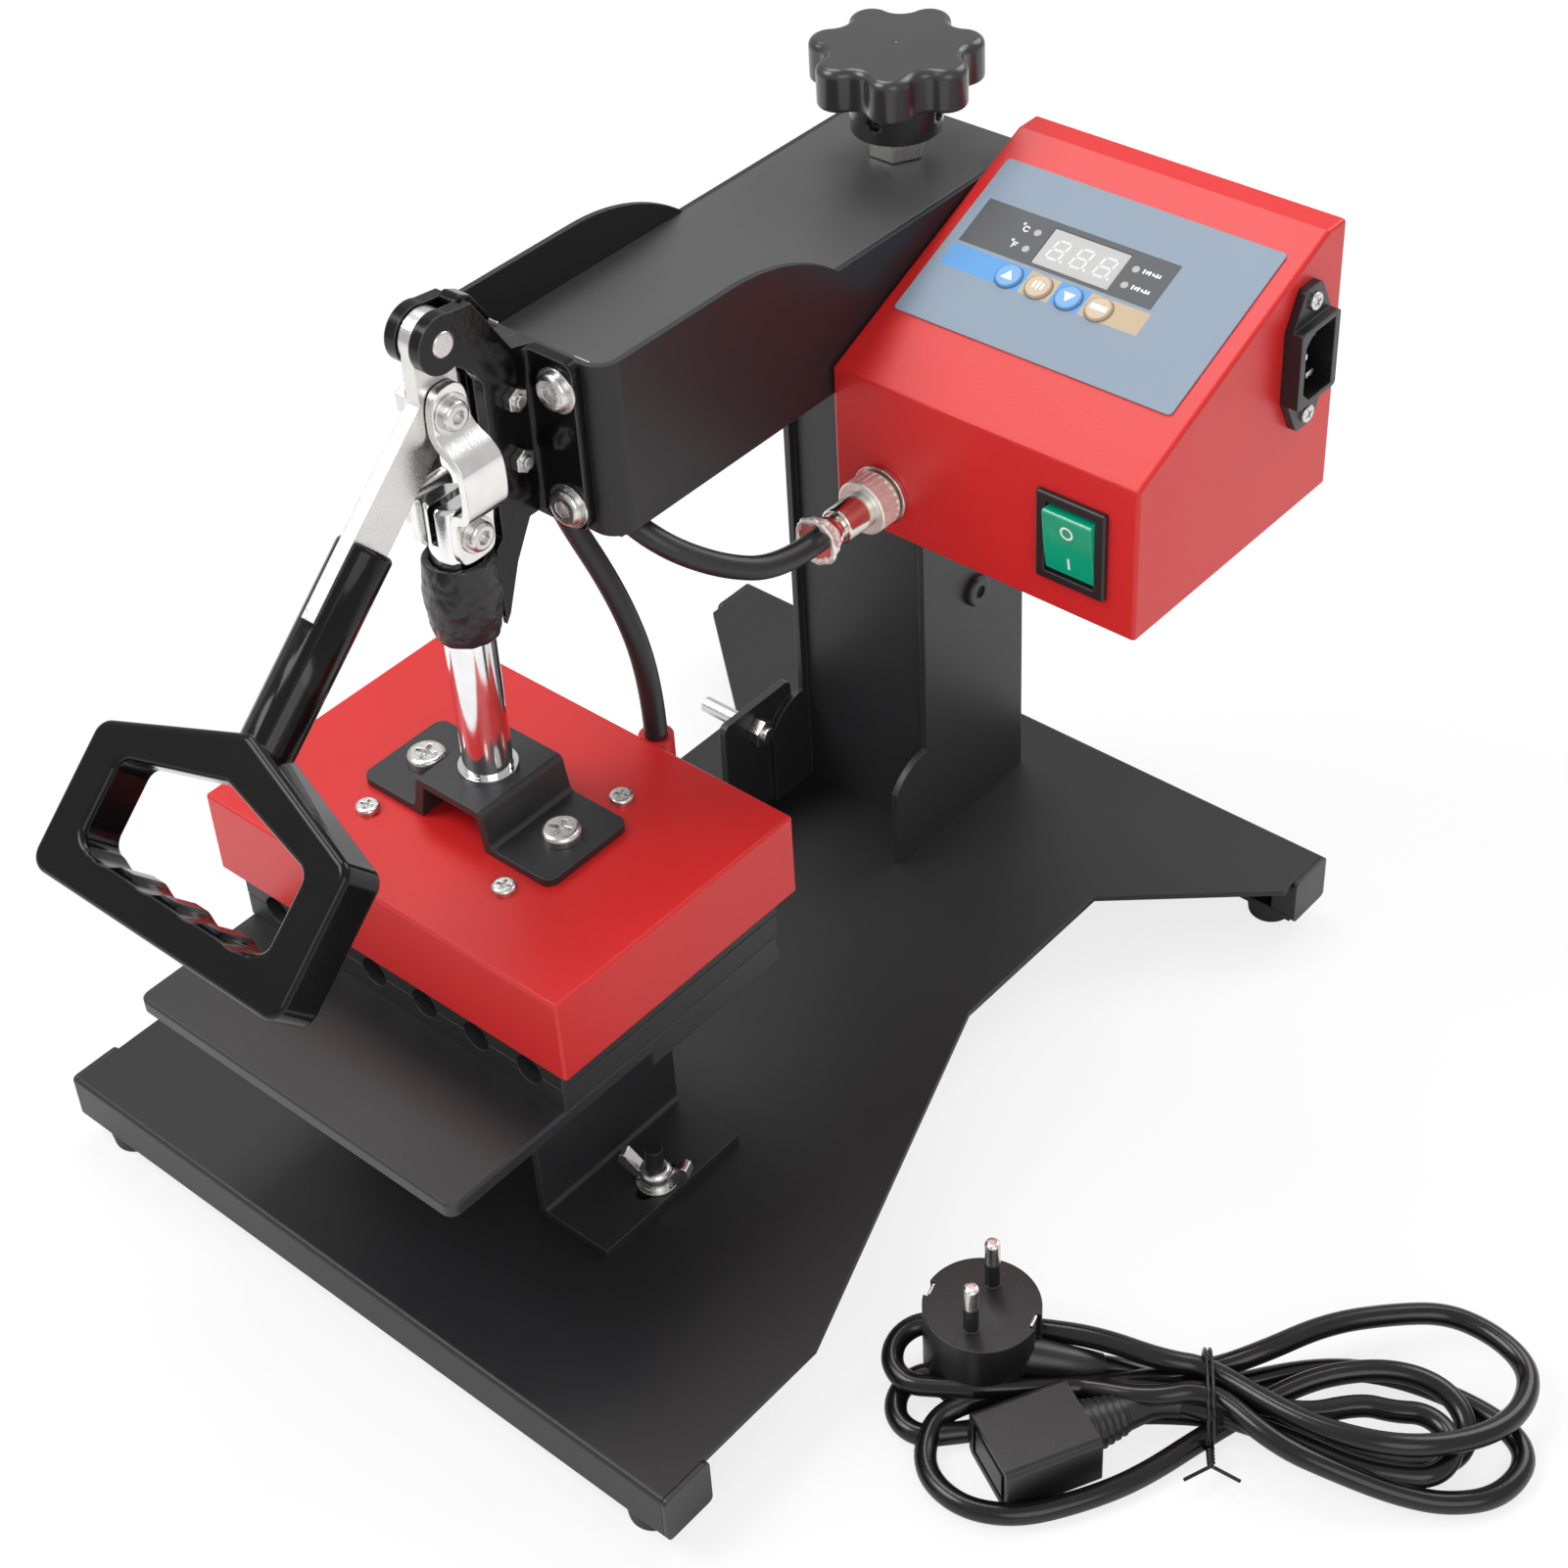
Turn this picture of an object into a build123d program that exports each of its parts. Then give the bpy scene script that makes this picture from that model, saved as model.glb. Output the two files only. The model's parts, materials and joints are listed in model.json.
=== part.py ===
from build123d import *
from math import atan2, cos, degrees, pi, radians, sin, sqrt, tan
import os

# Pen heat press, all sizes in millimetres.
# Working frame: x = 0 is the middle plane of the press, y = 0 the plunger's axis, z = 0 the table top
# it stands on. The front is at -y. The finished model is moved at the end, so that its origin is the
# middle of its base.

# Base sheet, an I-shaped plate with its front and rear edges folded into channels
base_shift = 11.5           # the column stands this far left of the base's middle
base_width = 276.0
base_front = -100.0
base_rear = 260.0
base_top = 28.0
base_sheet = 2.5
channel_height = 19.0
channel_depth = 20.0
front_straight = 72.0       # length of the wide front part
rear_straight = 25.0
waist_width = 172.0
waist_front = 117.0
waist_rear = 191.0
cap_flange = 2.0
cap_plug = 8.0
cap_play = 0.1
foot_radius = 9.0
foot_inset = 14.0           # foot's axis from the side of the base

# Column, a folded U of sheet with its open side to the rear
column_width = 61.4
column_front = 179.0
column_rear = 236.0
column_top = 285.0
column_sheet = 2.5
web_setback = 3.0
flare_reach = 17.7          # the cheeks' feet reach this far forward of the column
flare_height = 33.0
flare_radius = 17.7
rear_lip = 12.0
rear_lip_top = 240.0
lug_front = 138.0
lug_rear = 175.0
lug_top = 77.0
lug_sheet = 3.0
stop_y = 155.0
stop_z = 66.0
stop_radius = 3.0
stop_reach = 22.0

# Arm, a U of sheet bent round its front end, with a sunk top sheet
arm_width = 66.0
arm_front = 34.0
arm_bottom = 249.0
arm_wall_top = 308.0
arm_sheet = 2.0
arm_corner = 8.0
arm_top_z = 291.0
arm_top_sheet = 2.5
wall_curve_start = 90.0
wall_curve_end = 138.0
guide_pin_radius = 4.0
pin_head_radius = 5.4
pin_head_height = 1.0
guide_pin_z = 270.0
guide_pin_ys = (198.0, 224.0)
arm_lift = 6.0              # how far the pressure screw raises the arm
run_play = 0.06             # radial clearance of what turns or slides in a hole

# Pressure screw and star knob
screw_y = 208.0
screw_radius = 5.0
screw_pitch = 1.5
nut_bar_z = 126.5
nut_bar_size = 20.0
nut_bolt_radius = 4.0
collar_flats = 17.0
collar_height = 8.5
knob_bottom = 314.5
knob_top = 329.0
knob_radius = 28.8
knob_lobes = 7
knob_lobe_radius = 7.3
knob_valley = 6.0
knob_turned = -4.4          # degrees, where its first lobe points
hub_screw_radius = 2.5
hub_screw_turns = (-80.0, 12.0)
hub_screw_depth = 2.0
hub_radius = 15.0
hub_bottom = 300.2

# Toggle clamp: two bracket halves bolted to the arm's front
pin_a_z = 325.0
link_ab = 23.0              # lever pivot to link bolt
link_bc = 40.0              # link bolt to plunger bolt
lever_open = 90.0           # degrees
lever_slope = 42.5          # handle below the horizontal when closed
ear_radius = 9.2
ear_gap = 5.6
ear_thick = 4.2
clamp_flange_width = 50.0
clamp_flange_thick = 4.0
clamp_flange_bottom = 251.0
clamp_flange_top = 309.0
clamp_web_front = 12.5
clamp_root = 2.0            # inner rounding between gusset and flange
clamp_bolt_x = 18.5
clamp_bolt_zs = (259.0, 299.0)
clamp_bolt_radius = 3.0
rivet_y = 22.5
rivet_zs = (275.0, 296.0)
rivet_radius = 2.0
sleeve_radius = 11.0
sleeve_bottom = 222.0
sleeve_top = 250.5
pin_radius = 4.0
bolt_b_radius = 3.0
lever_thick = 5.0
lever_width = 16.0
strap_length = 70.0
link_thick = 3.0
link_width = 17.0
link_play = 0.4
tube_start = 44.0           # handle measured along its own line from the link bolt
tube_radius = 8.75
grip_apex = 105.4
grip_shoulder = 123.8
grip_end = 171.2
grip_half_width = 54.0
grip_bar = 14.0
grip_thick = 17.0
grip_lift = 1.5             # the loop's middle above the tube's axis
groove_radius = 11.0
groove_depth = 2.6
groove_pitch = 19.0

# Plunger and heated platen
plunger_radius = 8.0
plunger_flat = 6.5          # half width of the flattened head
plunger_bottom = 158.0
head_above_bolt = 9.0
head_below_bolt = 16.0
head_slot = 3.0
hat_length = 84.0
hat_depth = 36.0
hat_sheet = 3.0
hat_height = 16.0
hat_half_top = 14.5
hat_half_foot = 17.0
hat_screw_x = 30.0
hat_screw_radius = 3.0
cover_end_gap = 4.65        # between the heater block and the cover's ends
cover_side_gap = 2.25
cover_bottom = 121.8
cover_top = 152.8
cover_sheet = 1.5
cover_screw_x = 30.5
cover_screw_y = 26.3
cover_screw_radius = 2.0
block_length = 144.4        # the table is as long
block_depth = 99.0
block_top = 136.0
platen_gap = 0.4            # between the closed halves of the pen mould
insulation_thick = 8.0
rod_radius = 4.0
rod_y = 17.5
rod_z = 127.0
pen_count = 6
pen_pitch = 23.0
pen_radius = 5.3

# Lower table
table_front = -98.8
table_depth = 150.0
table_thick = 5.0
table_top = 101.2
tray_thick = 9.0
rail_width = 12.0
rail_height = 6.0
rail_front = -11.0
rail_rear = 49.5
bracket_half = 46.5         # outer face of the support's legs
bracket_front = -42.0
bracket_depth = 64.0
bracket_sheet = 3.0
foot_reach = 27.5
stud_x = 66.5
stud_radius = 3.0
stud_top = 47.0
table_travel = 6.0          # each way, along the slots
wing_hub_radius = 5.4
wing_span = 12.6
wing_thick = 4.6
wing_turned = 21.0          # degrees

# Control box
box_left = 33.3
box_width = 115.8
box_front = 132.7
box_rear = 237.5
box_bottom = 205.2
box_front_height = 54.2
box_height = 95.6
slope_angle = 23.3
box_sheet = 1.5
mount_ys = (196.0, 222.0)
mount_z = 225.0
mount_radius = 3.0
panel_left = 38.4           # overlay measured along x and up the slope
panel_low = 26.9
panel_width = 104.0
panel_height = 65.0
panel_thick = 0.6
display_x = 83.9
display_s = 66.3
display_width = 28.6
display_height = 14.4
key_xs = (66.5, 77.8, 89.1, 100.4)
key_s = 51.5
key_radius = 4.5
key_travel = 0.5
key_proud = 1.0
key_depth = 6.0
board_depth = 12.0
switch_x = 126.0
switch_z = 231.6
bezel_width = 25.5
bezel_height = 31.6
bezel_proud = 2.0
rocker_width = 18.0
rocker_half = 11.8
rocker_tilt = 7.0
inlet_y = 217.5
inlet_z = 263.4
inlet_pitch = 40.0
inlet_screw_radius = 1.6
inlet_flange = 3.0
inlet_proud = 6.4
inlet_half_width = 10.6
inlet_half_height = 13.6
well_half_width = 8.0
well_half_height = 11.9
well_corner = 3.6
well_depth = 17.0
inlet_depth = 18.0
contact_long = 13.0
socket_x = 52.5
socket_z = 219.7
socket_radius = 7.0
ring_radius = 9.3
socket_flange = 2.0
socket_reach = 9.0
knurl_count = 24
ring_front = 11.2           # distances in front of the box
ring_rear = 2.6
shell_front = 23.4
shell_radius = 6.1
crimp_front = 33.2
crimp_radius = 7.2

# Leads
lead_radius = 3.9
plug_tail_y = box_front - crimp_front
clip_sheet = 1.6
clip_length = 8.0
bend_before_clip = (31.0, 50.0, 239.5)
bend_after_clip = (10.3, 47.9, 251.5)
clip_point = (20.65, 48.95, 245.5)
upper_route = ((socket_x, plug_tail_y, socket_z), (socket_x, 82.0, socket_z), (43.5, 65.0, 226.5),
               bend_before_clip, clip_point)
elbow_point = (12.0, 62.0, 146.5)
lower_route = (clip_point, bend_after_clip, (-1.4, 48.3, 250.3), (-9.8, 50.2, 243.0), (-12.4, 54.0, 231.3),
               (3.0, 60.4, 200.0), (12.0, 62.0, 171.0), elbow_point)
hank_centre = (247.0, 43.0)
hank_angle = 37.0           # degrees
hank_half = 104.0
hank_lobe = 40.0
hank_waist = 12.0
hank_height = 24.0
tie_width = 4.4
tie_thick = 1.5
plug_place = (181.5, 14.4)
plug_turn = -73.0           # degrees, the line of its pins
plug_body_radius = 18.7
plug_body_height = 33.0
plug_pin_radius = 2.4
plug_pin_length = 19.0
connector_place = (216.0, -4.0)
connector_turn = 63.0       # degrees
connector_long = 32.0
connector_wide = 27.0
connector_high = 20.0
connector_sleeve = 14.0

# Worked out from the values above
cover_length = block_length + 2 * (cover_end_gap + cover_sheet)
cover_depth = block_depth + 2 * (cover_side_gap + cover_sheet)
table_width = block_length
base_left = base_shift - base_width / 2
base_right = base_shift + base_width / 2
channel_bottom = base_top - channel_height
half_column = column_width / 2
half_arm = arm_width / 2
pin_b_z = pin_a_z - link_ab
pin_c_z = pin_b_z - link_bc
lever_turn = radians(lever_open)
link_top_reach = sqrt(link_bc ** 2 - (link_ab * sin(lever_turn)) ** 2)
plunger_stroke = link_ab + link_bc - (link_ab * cos(lever_turn) + link_top_reach)
link_turn = lever_open + degrees(atan2(link_ab * sin(lever_turn), link_top_reach))
screw_turns = arm_lift / screw_pitch
ear_inner = ear_gap / 2
ear_outer = ear_inner + ear_thick
head_top = pin_c_z + head_above_bolt
tray_top = table_top + tray_thick
block_bottom = tray_top + platen_gap
pen_axis_z = tray_top + platen_gap / 2
table_bottom = table_top - table_thick
bracket_rear = bracket_front + bracket_depth
stud_y = (bracket_front + bracket_rear) / 2
box_right = box_left + box_width
box_top = box_bottom + box_height
slope_start_z = box_bottom + box_front_height
slope_end_y = box_front + (box_top - slope_start_z) / tan(radians(slope_angle))


# Helpers

def block(x0, x1, y0, y1, z0, z1):
    """A box between two corners."""
    return Pos((x0 + x1) / 2, (y0 + y1) / 2, (z0 + z1) / 2) * Box(x1 - x0, y1 - y0, z1 - z0)


def rod_z_axis(x, y, z0, z1, radius):
    return Pos(x, y, (z0 + z1) / 2) * Cylinder(radius, z1 - z0)


def rod_x_axis(x0, x1, y, z, radius):
    return Pos((x0 + x1) / 2, y, z) * Rot(0, 90, 0) * Cylinder(radius, x1 - x0)


def rod_y_axis(x, y0, y1, z, radius):
    return Pos(x, (y0 + y1) / 2, z) * Rot(90, 0, 0) * Cylinder(radius, y1 - y0)


def side_profile(points, x0, x1):
    """A plate whose outline is drawn in (y, z) and which lies between x0 and x1."""
    face = Plane.YZ.offset(x0) * make_face(Polyline(*points, close=True))
    return extrude(face, x1 - x0)


def front_profile(points, y0, y1):
    """A plate whose outline is drawn in (x, z) and which lies between y0 and y1."""
    face = Plane.XZ.offset(-y0) * make_face(Polyline(*points, close=True))
    return extrude(face, -(y1 - y0))


def plan_profile(points, z0, z1):
    face = Pos(0, 0, z0) * make_face(Polyline(*points, close=True))
    return extrude(face, z1 - z0)


def hex_x(x0, x1, y, z, flats):
    """A nut or hexagon head whose axis runs along x."""
    return Pos(x0, y, z) * Rot(0, 90, 0) * extrude(RegularPolygon(flats / 2, 6, major_radius=False), x1 - x0)


def pan_head(radius, height):
    """A low domed head that stands on z = 0 and points up."""
    head = Cylinder(radius, height, align=(Align.CENTER, Align.CENTER, Align.MIN))
    return fillet(head.edges().sort_by(Axis.Z)[-1], height * 0.45)


def both_sides(solid):
    return [solid, mirror(solid, about=Plane.YZ)]


def tube_on(route, radius):
    """A round lead along straight runs that are joined by tangent arcs."""
    corners = []
    for i in range(1, len(route) - 1):
        before = Vector(*route[i]) - Vector(*route[i - 1])
        after = Vector(*route[i + 1]) - Vector(*route[i])
        turn = radians(before.get_angle(after))
        shorter = min(before.length, after.length)
        corners.append(0.45 * shorter / tan(turn / 2))
    path = FilletPolyline(*route, radius=corners)
    start = Plane(origin=path @ 0, z_dir=path % 0)
    solid = sweep(start * Circle(radius), path)
    print("  lead radii", [round(r, 1) for r in corners], "length", round(path.length, 1),
          "volume share", round(solid.volume / (pi * radius ** 2 * path.length), 4))
    return solid


# Base

def base_plate():
    half = base_width / 2
    waist = waist_width / 2
    front_end = base_front + front_straight
    rear_start = base_rear - rear_straight
    right = [(half, base_front), (half, front_end), (waist, waist_front), (waist, waist_rear),
             (half, rear_start), (half, base_rear)]
    outline = right + [(-x, y) for x, y in reversed(right)]
    plate = Pos(base_shift, 0, 0) * plan_profile(outline, base_top - base_sheet, base_top)
    for edge, inward in ((base_front, 1), (base_rear, -1)):
        wall_in = edge + inward * base_sheet
        lip_in = edge + inward * channel_depth
        plate += block(base_left, base_right, min(edge, wall_in), max(edge, wall_in), channel_bottom, base_top)
        plate += block(base_left, base_right, min(edge, lip_in), max(edge, lip_in),
                       channel_bottom, channel_bottom + base_sheet)
    bends = [e for e in plate.edges().filter_by(Axis.X)
             if abs(e.center().Y - base_front) < 0.01 or abs(e.center().Y - base_rear) < 0.01]
    plate = fillet(bends, base_sheet * 0.8)
    for x in foot_xs():
        for y in foot_ys():
            plate -= rod_z_axis(x, y, channel_bottom - 1, channel_bottom + base_sheet + 1, foot_radius * 0.4)
    for x in (-stud_x, stud_x):
        plate += rod_z_axis(x, stud_y, base_top - base_sheet, stud_top, stud_radius)
    return plate


def foot_xs():
    return (base_left + foot_inset, base_right - foot_inset)


def foot_ys():
    return (base_front + channel_depth / 2, base_rear - channel_depth / 2)


def end_caps():
    """Plastic plugs that close the four ends of the folded channels."""
    caps = []
    inner_low = channel_bottom + base_sheet + cap_play
    inner_high = base_top - base_sheet - cap_play
    for edge, inward in ((base_front, 1), (base_rear, -1)):
        near = edge + inward * (base_sheet + cap_play)
        far = edge + inward * channel_depth
        for side, out in ((base_left, -1), (base_right, 1)):
            face = block(min(side, side + out * cap_flange), max(side, side + out * cap_flange),
                         min(edge, far), max(edge, far), channel_bottom, base_top)
            face = fillet(face.edges().filter_by(Axis.X), base_sheet * 0.8)
            plug = block(min(side, side - out * cap_plug), max(side, side - out * cap_plug),
                         min(near, far), max(near, far), inner_low, inner_high)
            hollow = block(min(side - out * 2, side - out * cap_plug * 2), max(side - out * 2, side - out * cap_plug * 2),
                           min(near, far) + 2, max(near, far) - 2, inner_low + 2, inner_high - 2)
            caps.append(face + (plug - hollow))
    return caps


def rubber_feet():
    """Round feet with a moulded stem that snaps through the channel's lower lip."""
    feet = []
    for x in foot_xs():
        for y in foot_ys():
            foot = Pos(x, y, 0) * Cone(foot_radius * 0.88, foot_radius, channel_bottom,
                                       align=(Align.CENTER, Align.CENTER, Align.MIN))
            foot = fillet(foot.edges().sort_by(Axis.Z)[0], 1.2)
            foot -= rod_z_axis(x, y, 0, channel_bottom * 0.4, foot_radius * 0.4)
            stem_top = channel_bottom + base_sheet
            foot += rod_z_axis(x, y, channel_bottom - 0.5, stem_top + 1.0, foot_radius * 0.4 - cap_play)
            foot += Pos(x, y, stem_top + 0.2) * Cone(foot_radius * 0.5, foot_radius * 0.3, 2.5,
                                                     align=(Align.CENTER, Align.CENTER, Align.MIN))
            feet.append(foot)
    return feet


# Column

def cheek(x0, x1):
    """One side of the column, whose foot flares forward in a quarter bend."""
    front_foot = column_front - flare_reach
    bend_low = base_top + flare_height
    bend_high = bend_low + flare_radius * 0.55
    with BuildSketch(Plane.YZ.offset(x0)) as sketch:
        with BuildLine():
            Polyline((column_front, bend_high), (column_front, column_top), (column_rear, column_top),
                     (column_rear, base_top), (front_foot, base_top), (front_foot, bend_low))
            ThreePointArc((front_foot, bend_low),
                          (front_foot + flare_reach * 0.42, bend_low + (bend_high - bend_low) * 0.72),
                          (column_front, bend_high))
        make_face()
    return extrude(sketch.sketch, x1 - x0)


def column():
    inner = half_column - column_sheet
    body = cheek(inner, half_column) + cheek(-half_column, -inner)
    web_front = column_front + web_setback
    body += block(-inner, inner, web_front, web_front + column_sheet, base_top, column_top)
    for side in (-1, 1):
        edge = side * inner
        lip = side * (half_column - rear_lip)
        body += block(min(edge, lip), max(edge, lip), column_rear - column_sheet, column_rear, base_top, rear_lip_top)
    slot_half = guide_pin_radius + run_play
    for y in guide_pin_ys:
        slot = rod_x_axis(-half_column - 1, half_column + 1, y, guide_pin_z, slot_half)
        slot += rod_x_axis(-half_column - 1, half_column + 1, y, guide_pin_z + arm_lift, slot_half)
        slot += block(-half_column - 1, half_column + 1, y - slot_half, y + slot_half,
                      guide_pin_z, guide_pin_z + arm_lift)
        body -= slot
    body -= rod_x_axis(-half_column - 1, half_column + 1, screw_y, nut_bar_z, nut_bolt_radius)
    for y in mount_ys:
        body -= rod_x_axis(0, half_column + 1, y, mount_z, mount_radius)
    body += stop_lug()
    return body


def stop_lug():
    """The plate welded to the left cheek that carries the stop bolt."""
    outer = -half_column
    lug = block(outer - lug_sheet, outer, lug_front, lug_rear, base_top, lug_top)
    lug = fillet([e for e in lug.edges().filter_by(Axis.X) if e.center().Z > lug_top - 1], 3)
    return lug - rod_x_axis(outer - lug_sheet - 1, outer + 1, stop_y, stop_z, stop_radius)


def stop_bolt():
    outer = -half_column
    bolt = rod_x_axis(outer - lug_sheet - stop_reach, outer + 6.5, stop_y, stop_z, stop_radius)
    bolt += hex_x(outer, outer + 5, stop_y, stop_z, 10)
    bolt += hex_x(outer - lug_sheet - 4, outer - lug_sheet, stop_y, stop_z, 10)
    return bolt


def cross_nut():
    """The bar inside the column that the pressure screw is threaded through."""
    inner = half_column - column_sheet
    half = nut_bar_size / 2
    bar = block(-inner, inner, screw_y - half, screw_y + half, nut_bar_z - half, nut_bar_z + half)
    bar = chamfer(bar.edges().filter_by(Axis.X), 1)
    return bar - rod_z_axis(0, screw_y, nut_bar_z - half - 1, nut_bar_z + half + 1, screw_radius + run_play)


def cross_bolts():
    bolts = []
    for side in (-1, 1):
        shank = rod_x_axis(half_column - column_sheet, half_column, screw_y, nut_bar_z, nut_bolt_radius)
        head = Pos(half_column, screw_y, nut_bar_z) * Rot(0, 90, 0) * pan_head(6, 2.6)
        bolt = shank + head
        bolts.append(bolt if side > 0 else mirror(bolt, about=Plane.YZ))
    return bolts


# Arm

def arm_side_outline():
    """The arm's wall seen from the side: high in front, falling in a long curve to the top sheet."""
    rise = arm_wall_top - arm_top_z
    run = wall_curve_end - wall_curve_start
    radius = (run ** 2 + rise ** 2) / (2 * rise)
    mid = run * 0.55
    drop = radius - sqrt(radius ** 2 - mid ** 2)
    with BuildSketch(Plane.YZ.offset(-half_arm - 1)) as sketch:
        with BuildLine():
            Polyline((wall_curve_end, arm_top_z), (column_rear, arm_top_z), (column_rear, arm_bottom),
                     (arm_front - 1, arm_bottom), (arm_front - 1, arm_wall_top), (wall_curve_start, arm_wall_top))
            ThreePointArc((wall_curve_start, arm_wall_top), (wall_curve_start + mid, arm_wall_top - drop),
                          (wall_curve_end, arm_top_z))
        make_face()
    return extrude(sketch.sketch, arm_width + 2)


def arm_channel():
    depth = column_rear - arm_front
    outer = Pos(0, arm_front + depth / 2, arm_bottom) * Box(arm_width, depth, arm_wall_top - arm_bottom,
                                                            align=(Align.CENTER, Align.CENTER, Align.MIN))
    outer = fillet([e for e in outer.edges().filter_by(Axis.Z) if e.center().Y < arm_front + 1], arm_corner)
    inner = Pos(0, arm_front + arm_sheet + depth / 2, arm_bottom - 1) * Box(
        arm_width - 2 * arm_sheet, depth, arm_wall_top - arm_bottom + 2,
        align=(Align.CENTER, Align.CENTER, Align.MIN))
    inner = fillet([e for e in inner.edges().filter_by(Axis.Z) if e.center().Y < arm_front + arm_sheet + 1],
                   arm_corner - arm_sheet)
    body = (outer - inner) & arm_side_outline()
    for x in (-clamp_bolt_x, clamp_bolt_x):
        for z in clamp_bolt_zs:
            body -= rod_y_axis(x, arm_front - 1, arm_front + arm_sheet + 1, z, clamp_bolt_radius)
    pin_end = half_column - column_sheet
    for y in guide_pin_ys:
        body += rod_x_axis(pin_end, half_arm - arm_sheet, y, guide_pin_z, guide_pin_radius)
        body += rod_x_axis(-half_arm + arm_sheet, -pin_end, y, guide_pin_z, guide_pin_radius)
    return body


def arm_top():
    inner = half_arm - arm_sheet
    sheet = block(-inner, inner, arm_front + arm_sheet, column_rear, arm_top_z - arm_top_sheet, arm_top_z)
    sheet = fillet([e for e in sheet.edges().filter_by(Axis.Z) if e.center().Y < arm_front + arm_sheet + 1],
                   arm_corner - arm_sheet)
    return sheet - rod_z_axis(0, screw_y, arm_top_z - arm_top_sheet - 1, arm_top_z + 1, screw_radius + run_play)


def lead_clip():
    """A saddle behind the arm's front that holds the heater lead at the top of its loop."""
    x, y, z = clip_point
    lie = Vector(*bend_after_clip) - Vector(*bend_before_clip)
    line = Plane(origin=clip_point, z_dir=lie)
    wall = arm_front + arm_sheet
    stem_low = arm_bottom + 1.5
    saddle = line * Cylinder(lead_radius + clip_sheet, clip_length)
    saddle += block(x - clip_length / 2, x + clip_length / 2, wall, y, stem_low, stem_low + clip_sheet)
    return saddle - line * Cylinder(lead_radius, 4 * clip_length)


# Pressure screw and knob

def pressure_screw():
    """The long screw, held in the arm by a collar below the top sheet and a hexagon above it."""
    low = nut_bar_z - nut_bar_size / 2 - 8
    sheet_low = arm_top_z - arm_top_sheet
    screw = rod_z_axis(0, screw_y, low, knob_bottom + 3, screw_radius)
    screw = chamfer(screw.edges().sort_by(Axis.Z)[0], 1)
    screw += rod_z_axis(0, screw_y, sheet_low - 7.2, sheet_low - 0.2, screw_radius + 3.5)
    nut = Pos(0, screw_y, arm_top_z + 0.2) * extrude(
        RegularPolygon(collar_flats / 2, 6, major_radius=False), collar_height)
    return screw + chamfer(nut.edges().sort_by(Axis.Z)[-6:], 0.8)


def knob_outline():
    """Broad lobes with rounded valleys between them."""
    lobe_at = knob_radius - knob_lobe_radius
    reach = knob_lobe_radius + knob_valley
    step = 360 / knob_lobes
    aside = lobe_at * sin(radians(step / 2))
    valley_at = lobe_at * cos(radians(step / 2)) + sqrt(reach ** 2 - aside ** 2)
    core = []
    lobes = []
    valleys = []
    for i in range(knob_lobes):
        lobes.append(Vector(lobe_at, 0).rotate(Axis.Z, knob_turned + step * i))
        valleys.append(Vector(valley_at, 0).rotate(Axis.Z, knob_turned + step * (i + 0.5)))
    for i in range(knob_lobes):
        for valley in (valleys[i - 1], valleys[i]):
            core.append(lobes[i] + (valley - lobes[i]) * (knob_lobe_radius / reach))
    shape = make_face(Polyline(*[(p.X, p.Y) for p in core], close=True))
    for lobe in lobes:
        shape += Pos(lobe.X, lobe.Y) * Circle(knob_lobe_radius)
    for valley in valleys:
        shape -= Pos(valley.X, valley.Y) * Circle(knob_valley)
    return shape


def star_knob():
    rim = extrude(knob_outline(), knob_top - knob_bottom)
    rim = fillet(rim.edges().group_by(Axis.Z)[-1], 3.0)
    rim = fillet(rim.edges().group_by(Axis.Z)[0], 1.5)
    knob = Pos(0, screw_y, knob_bottom) * rim
    knob += Pos(0, screw_y, hub_bottom) * Cone(hub_radius, hub_radius + 1, knob_bottom - hub_bottom + 1,
                                               align=(Align.CENTER, Align.CENTER, Align.MIN))
    for turn in hub_screw_turns:
        bore = Pos(hub_radius - hub_screw_depth, 0, (hub_bottom + knob_bottom) / 2) * Rot(0, 90, 0) * Cylinder(
            hub_screw_radius, 4 * hub_screw_depth, align=(Align.CENTER, Align.CENTER, Align.MIN))
        knob -= Pos(0, screw_y, 0) * Rot(0, 0, turn) * bore
    return knob - rod_z_axis(0, screw_y, hub_bottom - 1, knob_bottom + 3, screw_radius)


# Toggle clamp

def clamp_rear_edge():
    """The gusset's rear edge in (y, z), from the sleeve's foot up to the flange."""
    low = clamp_flange_bottom + 2.5
    return [(sleeve_radius + 0.5, sleeve_bottom + 3), (arm_front / 2, sleeve_bottom + (low - sleeve_bottom) * 0.6),
            (arm_front - 10, low), (arm_front, low)]


def clamp_side_face():
    """The web of a bracket half in (y, z): ear, throat and the gusset down to the sleeve."""
    shoulder = (arm_front - ear_radius, clamp_flange_top + 2.5)
    crown = [(sleeve_radius + 1, pin_a_z + ear_radius * 0.8), (ear_radius / 3, pin_a_z + ear_radius * 0.93)]
    throat = [(ear_radius / 3, pin_a_z - ear_radius * 0.94), (ear_radius, clamp_flange_top + 2.5),
              (clamp_web_front, clamp_flange_top - 3.5), (clamp_web_front, sleeve_top + 1.5),
              (sleeve_radius - 1.5, sleeve_top - 1.5), (sleeve_radius - 1.5, sleeve_bottom)]
    return [(arm_front, clamp_flange_top), shoulder] + crown + [(0, pin_a_z)] + throat + clamp_rear_edge()


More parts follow.
